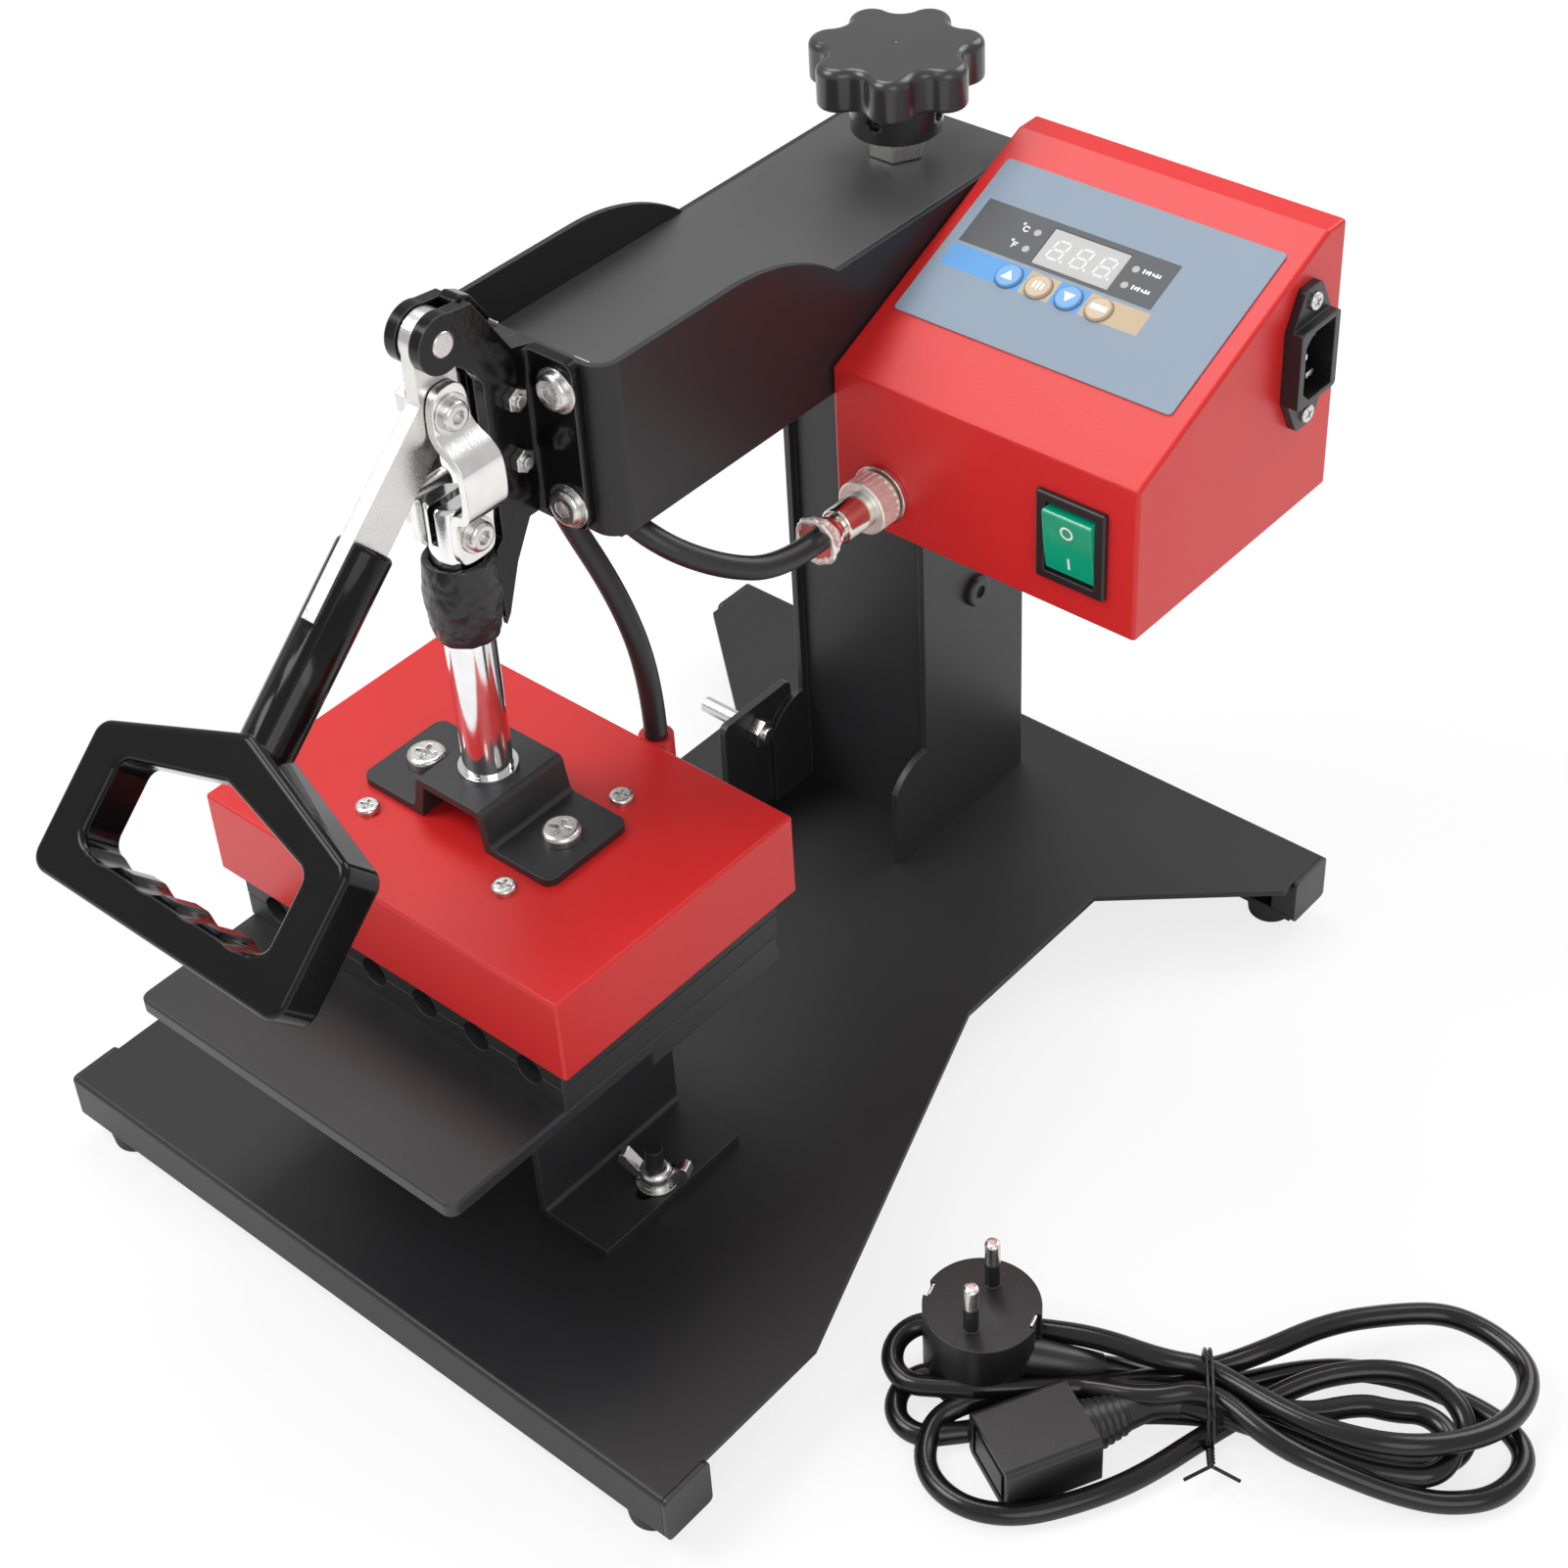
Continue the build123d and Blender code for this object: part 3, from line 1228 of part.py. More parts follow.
def inlet_pins():
    """Three flat contacts that stand in the socket well and end in tabs behind it."""
    foot = inlet_proud - well_depth
    return [inlet_plane() * Pos(x, y, foot + contact_long / 2) * Box(4, 2, contact_long)
            for x, y in ((2, 7), (2, -7), (-2, 0))]


def heater_socket():
    """The round panel socket for the heater's plug, with its nut inside the box."""
    inside = box_front + box_sheet
    flange = rod_y_axis(socket_x, box_front - socket_flange, box_front, socket_z, ring_radius + 0.9)
    barrel = rod_y_axis(socket_x, box_front - socket_reach, box_front + 9, socket_z, socket_radius)
    nut = rod_y_axis(socket_x, inside, inside + 3, socket_z, socket_radius + 2.4)
    return flange + barrel + nut - rod_y_axis(socket_x, box_front - 11, box_front - 3, socket_z, socket_radius - 1.4)


def heater_plug():
    """The plug's shell and its cable clamp, whose crimped end opens like petals."""
    mouth = box_front - socket_reach
    nose = rod_y_axis(socket_x, mouth - 0.5, mouth + 4.5, socket_z, socket_radius - 1.5)
    collar = rod_y_axis(socket_x, mouth - 1.0, mouth - 0.1, socket_z, socket_radius - 0.1)
    shell = rod_y_axis(socket_x, box_front - shell_front, mouth - 0.1, socket_z, shell_radius)
    shell = fillet(shell.edges().sort_by(Axis.Y)[0], 0.8)
    neck = rod_y_axis(socket_x, box_front - crimp_front + 2, box_front - shell_front + 1, socket_z, lead_radius + 0.6)
    long = crimp_front - shell_front - 2.4
    skirt = Cone(crimp_radius, lead_radius + 1.2, long, align=(Align.CENTER, Align.CENTER, Align.MIN))
    return nose + collar + shell + neck + Pos(socket_x, plug_tail_y, socket_z) * Rot(-90, 0, 0) * skirt


def plug_ring():
    """The threaded ring that turns on the plug and draws it onto the socket."""
    y0 = box_front - ring_front
    y1 = box_front - ring_rear
    ring = rod_y_axis(socket_x, y0, y1, socket_z, ring_radius)
    ring = fillet(ring.edges().group_by(Axis.Y)[0] + ring.edges().group_by(Axis.Y)[-1], 0.6)
    for i in range(knurl_count):
        angle = 2 * pi * i / knurl_count
        ring -= rod_y_axis(socket_x + (ring_radius + 0.3) * cos(angle), y0 + 1.6, y1 - 1,
                           socket_z + (ring_radius + 0.3) * sin(angle), 0.7)
    lip = box_front - socket_reach - 1.1
    ring -= rod_y_axis(socket_x, lip, y1 + 1, socket_z, socket_radius + run_play)
    return ring - rod_y_axis(socket_x, y0 - 1, lip + 1, socket_z, shell_radius + run_play)


# Mains lead, lying tied beside the press

def mains_plug():
    """The wall plug, pins up, with its cable leaving sideways."""
    x, y = plug_place
    body = Cylinder(plug_body_radius, plug_body_height, align=(Align.CENTER, Align.CENTER, Align.MIN))
    body = fillet(body.edges().sort_by(Axis.Z)[0], 4)
    for side in (-1, 1):
        body -= Pos(0, side * (plug_body_radius + 1), plug_body_height - 6) * Box(6, 6, 13)
    for side in (-1, 1):
        pin = Pos(side * 9.5, 0, plug_body_height) * Cylinder(
            plug_pin_radius, plug_pin_length, align=(Align.CENTER, Align.CENTER, Align.MIN))
        body += fillet(pin.edges().sort_by(Axis.Z)[-1], 1.2)
    return Pos(x, y, 0) * Rot(0, 0, plug_turn) * body


def connector_frame():
    return Pos(connector_place[0], connector_place[1], connector_high / 2) * Rot(0, 0, connector_turn)


def mains_connector():
    """The appliance connector on the lead's other end, face to the front."""
    body = Box(connector_long, connector_wide, connector_high)
    body = fillet(body.edges().filter_by(Axis.X), 2.5)
    sleeve = Pos(connector_long / 2, 0, 0) * Rot(0, 90, 0) * Cone(
        8.5, 6, connector_sleeve, align=(Align.CENTER, Align.CENTER, Align.MIN))
    well_long = 14.0
    well = Pos(-(connector_long - well_long) / 2, 0, 0) * Box(well_long, connector_wide - 5, connector_high - 5)
    core = Pos(-(connector_long - well_long) / 2, 0, 0) * Box(well_long, connector_wide - 9, connector_high - 10)
    return connector_frame() * (body + sleeve - (well - core))


def hank_frame():
    return Pos(hank_centre[0], hank_centre[1], 0) * Rot(0, 0, hank_angle)


def mains_hank():
    """The tied bundle of the mains lead: two lobes and a narrow waist."""
    far = hank_half - hank_lobe
    shape = Pos(-far, 0) * Circle(hank_lobe) + Pos(far, 0) * Circle(hank_lobe)
    wide = hank_lobe * 0.75
    tie = tie_width / 2
    shape += make_face(Polyline((-far, wide), (-tie, hank_waist), (tie, hank_waist), (far, wide),
                                (far, -wide), (tie, -hank_waist), (-tie, -hank_waist), (-far, -wide), close=True))
    bundle = hank_frame() * extrude(shape, hank_height)
    bundle -= rod_z_axis(plug_place[0], plug_place[1], -1, hank_height + 1, plug_body_radius + 0.3)
    keep = Pos(connector_sleeve / 2, 0, 0) * Box(
        connector_long + connector_sleeve + 0.6, connector_wide + 0.6, connector_high + 0.6)
    return bundle - connector_frame() * keep


def lead_tie():
    """The wire tie round the waist of the bundle."""
    high = hank_height + tie_thick
    outer = Pos(0, 0, high / 2) * Box(tie_width, 2 * (hank_waist + tie_thick), high)
    inner = Pos(0, 0, hank_height / 2) * Box(tie_width + 1, 2 * hank_waist, hank_height)
    return hank_frame() * (outer - inner)


# Every piece by name

def build():
    pieces = {
        "base_plate": base_plate(),
        "end_caps": end_caps(),
        "rubber_feet": rubber_feet(),
        "column": column(),
        "stop_bolt": stop_bolt(),
        "cross_nut": cross_nut(),
        "cross_bolts": cross_bolts(),
        "arm_channel": arm_channel(),
        "arm_top": arm_top(),
        "lead_clip": lead_clip(),
        "pressure_screw": pressure_screw(),
        "star_knob": star_knob(),
        "clamp_left": clamp_half(-1),
        "clamp_right": clamp_half(1),
        "clamp_bolts": clamp_bolts(),
        "guide_sleeve": guide_sleeve(),
        "lever_pin": lever_pin(),
        "lever_plate": lever_plate(),
        "link_bolt": link_bolt(),
        "handle_grip": grip(),
        "link_plates": both_sides(link_shape()),
        "link_studs": link_studs(),
        "plunger": plunger(),
        "hat_bracket": hat_bracket(),
        "hat_screws": hat_screws(),
        "platen_cover": platen_cover(),
        "cover_screws": cover_screws(),
        "heater_block": heater_block(),
        "heater_rods": heater_rods(),
        "insulation": insulation(),
        "pen_tray": pen_tray(),
        "table_plate": table_plate(),
        "table_bracket": table_bracket(),
        "wing_nut_left": wing_nut(-stud_x),
        "wing_nut_right": wing_nut(stud_x),
        "box_shell": box_shell(),
        "box_back": box_back(),
        "box_screws": box_screws(),
        "box_corner_blocks": corner_blocks(),
        "box_mounts": box_mounts(),
        "panel_overlay": panel_overlay(),
        "display": display(),
        "control_board": control_board(),
        "switch_bezel": switch_bezel(),
        "switch_rocker": rocker(),
        "mains_inlet": mains_inlet(),
        "inlet_pins": inlet_pins(),
        "heater_socket": heater_socket(),
        "heater_plug": heater_plug(),
        "plug_ring": plug_ring(),
        "heater_lead_upper": tube_on(upper_route, lead_radius),
        "heater_lead_lower": tube_on(lower_route, lead_radius),
        "mains_lead": mains_hank(),
        "lead_tie": lead_tie(),
        "mains_plug": mains_plug(),
        "mains_connector": mains_connector(),
    }
    for name, x in zip(("key_up", "key_set", "key_down", "key_power"), key_xs):
        pieces[name] = key(x)
    return pieces


def solids_of(piece):
    """All the separate solids in a piece, which may be one shape or a list of shapes."""
    shapes = piece if isinstance(piece, list) else [piece]
    return [solid for shape in shapes for solid in shape.solids()]


cord_pieces = ("mains_lead", "lead_tie", "mains_plug", "mains_connector", "heater_lead_upper", "heater_lead_lower")


def press_origin(pieces):
    """The middle of the press's own footprint, without its leads."""
    boxes = [solid.bounding_box() for name, piece in pieces.items() if name not in cord_pieces
             for solid in solids_of(piece)]
    low_x = min(b.min.X for b in boxes)
    high_x = max(b.max.X for b in boxes)
    low_y = min(b.min.Y for b in boxes)
    high_y = max(b.max.Y for b in boxes)
    return ((low_x + high_x) / 2, (low_y + high_y) / 2)


pieces = build()
origin_x, origin_y = press_origin(pieces)
os.makedirs("parts", exist_ok=True)
for name, piece in pieces.items():
    moved = [Pos(-origin_x, -origin_y, 0) * solid for solid in solids_of(piece)]
    shape = moved[0] if len(moved) == 1 else Compound(children=moved)
    export_step(shape, f"parts/{name}.step")
print("pieces", len(pieces), "origin", round(origin_x, 3), round(origin_y, 3))
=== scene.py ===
# pen heat press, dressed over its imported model
import json
import math

import bpy
from mathutils import Matrix, Vector


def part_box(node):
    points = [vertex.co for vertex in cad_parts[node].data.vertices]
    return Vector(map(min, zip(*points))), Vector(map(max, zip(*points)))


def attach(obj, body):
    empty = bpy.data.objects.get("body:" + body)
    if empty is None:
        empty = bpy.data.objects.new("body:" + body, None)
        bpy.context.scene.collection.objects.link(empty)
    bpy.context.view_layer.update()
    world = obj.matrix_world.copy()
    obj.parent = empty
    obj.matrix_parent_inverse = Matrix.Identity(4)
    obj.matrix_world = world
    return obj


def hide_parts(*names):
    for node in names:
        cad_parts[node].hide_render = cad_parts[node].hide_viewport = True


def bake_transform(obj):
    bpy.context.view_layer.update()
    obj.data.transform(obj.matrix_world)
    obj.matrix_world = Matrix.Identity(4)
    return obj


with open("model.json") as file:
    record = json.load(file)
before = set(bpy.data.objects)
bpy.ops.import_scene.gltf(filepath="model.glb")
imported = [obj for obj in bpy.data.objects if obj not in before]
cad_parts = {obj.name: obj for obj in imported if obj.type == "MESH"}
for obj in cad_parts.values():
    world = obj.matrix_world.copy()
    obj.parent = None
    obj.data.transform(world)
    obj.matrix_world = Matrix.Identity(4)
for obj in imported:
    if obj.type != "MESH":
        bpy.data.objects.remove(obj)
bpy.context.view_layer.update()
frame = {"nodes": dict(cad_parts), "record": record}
scene = bpy.context.scene
millimetre = 0.001
record = frame["record"]
bodyOf = {node: body for body, nodes in record["behaviour"]["bodies"].items() for node in nodes}
slotOf = {part["node"]: part["material_slot"] for part in record["subparts"]}


def middle(node):  # centre of a node's box
    low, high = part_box(node)
    return (low + high) / 2


pressAxis = middle("guide_sleeve").to_2d()  # the plunger's axis, from which sizes are taken


def at(x, y, z):  # a place in millimetres from the plunger's axis and the table top
    return Vector((pressAxis.x + x * millimetre, pressAxis.y + y * millimetre, z * millimetre))


# camera and lights

camera = {  # angles in degrees, lens in millimetres, place as at() takes it
    "azimuth": 44.39, "elevation": 39.32, "roll": 4.58, "place": (531.8, -439.9, 739.8),
    "lens": 65.66, "sensor": 36, "shiftX": 0.0422, "shiftY": -0.0372, "farthest": 20,
}


def makeCamera():
    azimuth = math.radians(camera["azimuth"])
    elevation = math.radians(camera["elevation"])
    roll = math.radians(camera["roll"])
    right = Vector((math.cos(azimuth), math.sin(azimuth), 0))
    back = Vector((math.sin(azimuth) * math.cos(elevation), -math.cos(azimuth) * math.cos(elevation),
                   math.sin(elevation)))
    up = back.cross(right)
    tiltedRight = right * math.cos(roll) - up * math.sin(roll)
    tiltedUp = right * math.sin(roll) + up * math.cos(roll)
    bpy.ops.object.camera_add(location=at(*camera["place"]))
    made = bpy.context.object
    made.rotation_euler = Matrix((tiltedRight, tiltedUp, back)).transposed().to_euler()
    made.data.lens = camera["lens"]
    made.data.sensor_width = camera["sensor"]
    made.data.shift_x = camera["shiftX"]
    made.data.shift_y = camera["shiftY"]
    made.data.clip_end = camera["farthest"]
    scene.camera = made


makeCamera()
print("camera set")


# shader maths

class Wire:  # a socket that takes part in expressions
    def __init__(self, tree, socket=None):
        self.tree = tree
        self.socket = socket

    def add(self, kind, settings=None, values=None, out=0):  # any node, its settings, its inputs
        made = self.tree.nodes.new(kind)
        for key, value in (settings or {}).items():
            setattr(made, key, value)
        for key, value in (values or {}).items():
            if isinstance(value, Wire):
                self.tree.links.new(value.socket, made.inputs[key])
            else:
                made.inputs[key].default_value = value
        return Wire(self.tree, made.outputs[out])

    def maths(self, operation, first, second=0.0, clamp=False):
        return self.add("ShaderNodeMath", {"operation": operation, "use_clamp": clamp}, {0: first, 1: second})

    def __add__(self, other):
        return self.maths("ADD", self, other)

    def __radd__(self, other):
        return self.maths("ADD", other, self)

    def __sub__(self, other):
        return self.maths("SUBTRACT", self, other)

    def __rsub__(self, other):
        return self.maths("SUBTRACT", other, self)

    def __mul__(self, other):
        return self.maths("MULTIPLY", self, other)

    def __rmul__(self, other):
        return self.maths("MULTIPLY", other, self)

    def __gt__(self, other):
        return self.maths("GREATER_THAN", self, other)

    def __lt__(self, other):
        return self.maths("LESS_THAN", self, other)

    def part(self, index):  # one of a vector's three numbers
        return self.add("ShaderNodeSeparateXYZ", None, {0: self}, out=index)

    def between(self, low, high):
        return (self > low) * (self < high)

    def mixColour(self, base, over):  # base where this is 0, over where it is 1
        first = base if isinstance(base, Wire) else (*base, 1)
        second = over if isinstance(over, Wire) else (*over, 1)
        return self.add("ShaderNodeMix", {"data_type": "RGBA"}, {0: self, 6: first, 7: second}, out=2)


def startMaterial(name):
    made = bpy.data.materials.new(name)
    made.use_nodes = True
    shader = made.node_tree.nodes["Principled BSDF"]
    return made, Wire(made.node_tree), shader


def feed(wire, shader, socket, value):
    if isinstance(value, Wire):
        wire.tree.links.new(value.socket, shader.inputs[socket])
    else:
        shader.inputs[socket].default_value = value


surface = {  # numbers that all finishes share
    "edgeSamples": 6, "edgeWearAndHighlightGain": 6.0, "edgeWearAndHighlightLeast": 0.35, "cloudDetail": 4.0, "grainDetail": 3.0,
    "streakStretch": (9.0, 260.0, 260.0), "streakScale": 9.0, "streakDetail": 6.0, "streakHeight": 0.6,
}


def softEdges(wire, radius):  # normals rounded over sharp edges
    return wire.add("ShaderNodeBevel", {"samples": surface["edgeSamples"]}, {"Radius": radius})


# where a finish has an edge colour, this mask lays a painted highlight along edges that also stands for edge
# wear
def edgeWearAndHighlightMask(wire, rounded):  # 1 on edges, 0 on flats
    plain = wire.add("ShaderNodeNewGeometry", out=1)
    same = wire.add("ShaderNodeVectorMath", {"operation": "DOT_PRODUCT"}, {0: rounded, 1: plain}, out=1)
    return wire.maths("MULTIPLY", 1 - same, surface["edgeWearAndHighlightGain"], clamp=True)


def objectPlace(wire):  # a place in the object's own metres
    return wire.add("ShaderNodeTexCoord", out=3)


def noise(wire, place, scale, detail=2.0):
    return wire.add("ShaderNodeTexNoise", None, {"Vector": place, "Scale": scale, "Detail": detail}, out=0)


def finishOf(name, colour, roughness, metallic=0.0, spread=0.08, cloud=60, grain=1200, grainHeight=0.00002,
             edge=None, edgeRadius=0.0005, coat=0.0, coatRoughness=0.1, tint=0.12, specular=0.5,
             scratches=0.0):
    # a sprayed, cast, moulded or plated surface: clouds of tint and gloss, fine grain, lighter edges that are
    # a painted highlight and partly edge wear
    material, wire, shader = startMaterial(name)
    place = objectPlace(wire)
    clouds = noise(wire, place, cloud, surface["cloudDetail"])
    height = noise(wire, place, grain, surface["grainDetail"])
    rounded = softEdges(wire, edgeRadius)
    darker = tuple(channel * (1 - tint) for channel in colour)
    lighter = tuple(min(1, channel * (1 + tint)) for channel in colour)
    shade = clouds.mixColour(darker, lighter)
    gloss = roughness - spread / 2 + clouds * spread
    # painted highlight along the edges, partly edge wear, in the edge colour
    if edge:
        least = surface["edgeWearAndHighlightLeast"]
        mask = edgeWearAndHighlightMask(wire, rounded) * (least + (1 - least) * clouds)
        shade = mask.mixColour(shade, edge)
    if scratches:
        lines = wire.add("ShaderNodeMapping", None, {"Vector": place, "Scale": surface["streakStretch"]})
        streaks = noise(wire, lines, surface["streakScale"], surface["streakDetail"])
        gloss = gloss + (streaks - 0.5) * scratches
        height = height + streaks * surface["streakHeight"]
    feed(wire, shader, "Base Color", shade)
    feed(wire, shader, "Roughness", gloss)
    feed(wire, shader, "Metallic", metallic)
    feed(wire, shader, "Coat Weight", coat)
    feed(wire, shader, "Coat Roughness", coatRoughness)
    feed(wire, shader, "Specular IOR Level", specular)
    bump = wire.add("ShaderNodeBump", None, {"Strength": 1.0, "Distance": grainHeight, "Height": height,
                                             "Normal": rounded})
    feed(wire, shader, "Normal", bump)
    return material


# edge: the colour of a painted highlight along each piece's edges, partly edge wear
looks = {
    "blackSheet": dict(colour=(0.019, 0.019, 0.021), roughness=0.42, spread=0.06, cloud=14, grain=900,
                       grainHeight=0.00003, edge=(0.075, 0.075, 0.08), tint=0.1),
    "castBlack": dict(colour=(0.004, 0.004, 0.0045), roughness=0.16, spread=0.12, cloud=90, grain=420,
                      grainHeight=0.00010, edge=(0.16, 0.16, 0.16), edgeRadius=0.0007, coat=0.12,
                      coatRoughness=0.05, specular=0.18),
    # painted shade: a darker copy of the black sheet, for the base plate under the arm and the arm's shaded
    # channel
    "shadedSheet": dict(colour=(0.0135, 0.0135, 0.015), roughness=0.42, spread=0.06, cloud=14, grain=900,
                      grainHeight=0.00003, edge=(0.07, 0.07, 0.075), tint=0.1, specular=0.4),
    # painted light: a lighter copy of the black sheet, for the arm's lit top
    "litTopSheet": dict(colour=(0.050, 0.050, 0.052), roughness=0.4, spread=0.06, cloud=14, grain=900,
                     grainHeight=0.00003, edge=(0.10, 0.10, 0.10), tint=0.1, specular=0.6),
    "redPaint": dict(colour=(0.60, 0.016, 0.016), roughness=0.36, spread=0.06, cloud=14, grain=900,
                     grainHeight=0.00003, edge=(0.72, 0.06, 0.055), tint=0.06, edgeRadius=0.0009,
                     specular=0.42),
    "zincSteel": dict(colour=(0.66, 0.65, 0.63), roughness=0.27, metallic=1.0, spread=0.16, cloud=220,
                      grain=1600, grainHeight=0.00003, edge=(0.85, 0.85, 0.84), scratches=0.18),
    "chrome": dict(colour=(0.80, 0.80, 0.81), roughness=0.10, metallic=1.0, spread=0.08, cloud=160,
                   grain=1500, grainHeight=0.00001, edge=(0.9, 0.9, 0.9), edgeRadius=0.0004),
    "nickel": dict(colour=(0.74, 0.71, 0.66), roughness=0.16, metallic=1.0, spread=0.1, cloud=300,
                   grain=2400, grainHeight=0.00002, edge=(0.88, 0.86, 0.82), edgeRadius=0.0004),
    "blackBlock": dict(colour=(0.018, 0.018, 0.019), roughness=0.5, spread=0.14, cloud=80, grain=900,
                       grainHeight=0.00006, edge=(0.06, 0.06, 0.06), edgeRadius=0.0006),
    "glossBlack": dict(colour=(0.003, 0.003, 0.0032), roughness=0.16, spread=0.1, cloud=40, grain=500,
                       grainHeight=0.00003, edge=(0.09, 0.09, 0.09), edgeRadius=0.0009, coat=0.1,
                       coatRoughness=0.05, specular=0.18),
    "knobBlack": dict(colour=(0.020, 0.020, 0.021), roughness=0.3, spread=0.1, cloud=40, grain=500,
                      grainHeight=0.00003, edge=(0.05, 0.05, 0.052), edgeRadius=0.0012, coat=0.3,
                      coatRoughness=0.12, specular=0.5),
    "knurled": dict(colour=(0.88, 0.86, 0.81), roughness=0.4, metallic=0.65, spread=0.1, cloud=300,
                    grain=1300, grainHeight=0.00012, edge=(0.95, 0.94, 0.90), edgeRadius=0.0003),
    "darkSteel": dict(colour=(0.09, 0.09, 0.095), roughness=0.3, metallic=1.0, spread=0.12, cloud=200,
                      grain=1500, grainHeight=0.00002, edge=(0.4, 0.4, 0.4), edgeRadius=0.0003),
    "mouldedBlack": dict(colour=(0.010, 0.010, 0.011), roughness=0.34, spread=0.1, cloud=70, grain=1500,
                         grainHeight=0.00004, edge=(0.04, 0.04, 0.042), edgeRadius=0.0006),
    "rubber": dict(colour=(0.016, 0.016, 0.016), roughness=0.62, spread=0.1, cloud=120, grain=1400,
                   grainHeight=0.00006),
    "leadSkin": dict(colour=(0.006, 0.006, 0.0065), roughness=0.22, spread=0.12, cloud=45, grain=1300,
                     grainHeight=0.00003, tint=0.25, coat=0.22, coatRoughness=0.1, specular=0.3),
    "heaterSkin": dict(colour=(0.016, 0.016, 0.018), roughness=0.38, spread=0.12, cloud=60, grain=1300,
                       grainHeight=0.00004, tint=0.25),
    "fibre": dict(colour=(0.62, 0.58, 0.50), roughness=0.9, spread=0.1, cloud=300, grain=900,
                  grainHeight=0.0004),
    "boardGreen": dict(colour=(0.02, 0.14, 0.05), roughness=0.35, spread=0.2, cloud=260, grain=900),
    "brightSteel": dict(colour=(0.78, 0.77, 0.75), roughness=0.2, metallic=1.0, spread=0.12, cloud=160,
                        grain=900, grainHeight=0.00003, edge=(0.93, 0.93, 0.92), edgeRadius=0.0006,
                        scratches=0.1),
    "tape": dict(colour=(0.012, 0.012, 0.013), roughness=0.34, spread=0.2, cloud=160, grain=330,
                 grainHeight=0.0005, edge=(0.03, 0.03, 0.03), tint=0.3),
    "pinSteel": dict(colour=(0.78, 0.77, 0.74), roughness=0.2, metallic=1.0, spread=0.1, cloud=200,
                     grain=1200, grainHeight=0.00002),
}
finishes = {name: finishOf(name, **look) for name, look in looks.items()}


# the printed keypad, drawn in millimetres from the overlay's lower left corner

panel = {
    "slope": 23.3, "thick": 0.0006, "band": (4.0, 76.8, 30.7, 48.8), "strip": (3.5, 78.0, 20.7, 29.5),
    "lights": ((26.7, 42.7), (26.7, 35.9), (63.9, 42.4), (63.9, 35.9)), "lightRadius": 1.25,
    "letterShift": -4.3, "degree": (-5.9, 1.6, 0.36, 0.3),
    "icon": ((2.9, 0.2, 0.3, 0.85), (4.0, 0.2, 0.3, 0.6), (5.0, 0.2, 0.3, 0.8), (6.3, 0.2, 0.3, 0.5),
             (7.6, 0.2, 0.3, 0.75), (8.7, 0.2, 0.3, 0.6), (4.6, 0.5, 1.0, 0.17), (7.4, -0.1, 1.3, 0.17)),
    "grey": (0.232, 0.288, 0.352), "dark": (0.105, 0.108, 0.114), "blue": (0.125, 0.32, 0.62),
    "tan": (0.50, 0.39, 0.27), "white": (0.88, 0.88, 0.87), "lightTint": (0.42, 0.42, 0.40),
    "tint": 1.12, "cloud": 22.0, "grain": 1500.0, "grainHeight": 0.00001, "roughness": 0.42, "spread": 0.08,
}
keys = {
    "places": (28.1, 39.4, 50.7, 62.0), "row": 24.6, "rim": (4.1, 0.5), "rimShare": 0.4,
    "arrow": (1.9, 0.62, 1.5), "bar": (2.9, 0.95), "lift": 0.2,
    "sliders": ((-1.5, 1.3), (0, 1.6), (1.5, 1.2)), "sliderHalf": 0.38, "cloud": 90.0, "roughness": 0.22,
    "spread": 0.12, "edge": 0.0004,
}
display = {
    "place": (45.5, 39.4), "figures": (-8.6, 0.2, 9.0), "dark": (0.42, 0.42, 0.415),
    "light": (0.48, 0.48, 0.47), "figureTint": (0.72, 0.72, 0.70), "figureShare": 0.75, "cloud": 60.0,
    "roughness": 0.36, "spread": 0.08, "edge": 0.0003,
}
figure = {  # one figure eight: rows and uprights with their half sizes, and its point
    "lean": 0.14, "rows": (-3.6, 0, 3.6), "rowHalf": (1.75, 0.42), "sides": (-2.3, 2.3),
    "halves": (-1.8, 1.8), "sideHalf": (0.42, 1.45), "point": (3.6, -3.6), "pointRadius": 0.5,
}
letterF = ((-0.7, 0, 0.22, 1.15), (0, 0.95, 0.8, 0.2), (-0.1, 0.1, 0.6, 0.2))  # its three bars
letterC = {"radius": 0.95, "thick": 0.42, "gap": (1.0, 0, 0.7, 0.42)}


def slopePlane(wire):  # millimetres across the overlay and up its slope
    low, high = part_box("panel_overlay")
    slope = math.radians(panel["slope"])
    corner = (low.x, low.y + panel["thick"] * math.sin(slope), low.z)
    flat = wire.add("ShaderNodeMapping", {"vector_type": "TEXTURE"},
                    {"Vector": objectPlace(wire), "Location": corner, "Rotation": (slope, 0, 0),
                     "Scale": (millimetre, millimetre, millimetre)})
    return flat.part(0), flat.part(1)


def bar(across, up, x, y, halfWide, halfHigh):  # 1 inside a rectangle
    beside = across.maths("ABSOLUTE", across - x) < halfWide
    return beside * (across.maths("ABSOLUTE", up - y) < halfHigh)


def bars(across, up, x, y, rows):  # several bars by their places from a point
    return [bar(across, up, x + right, y + above, wide, high) for right, above, wide, high in rows]


def zone(across, up, left, right, low, high):
    return bar(across, up, (left + right) / 2, (low + high) / 2, (right - left) / 2, (high - low) / 2)


def away(across, up, x, y):  # distance from a point
    return across.maths("SQRT", (across - x) * (across - x) + (up - y) * (up - y))


def ring(across, up, x, y, radius, thick):
    return across.maths("ABSOLUTE", away(across, up, x, y) - radius) < thick / 2


def merged(masks):
    total = masks[0]
    for mask in masks[1:]:
        total = total.maths("MAXIMUM", total, mask)
    return total


def drawC(across, up, x, y):
    gap = merged(bars(across, up, x, y, [letterC["gap"]]))
    return ring(across, up, x, y, letterC["radius"], letterC["thick"]) * (1 - gap)


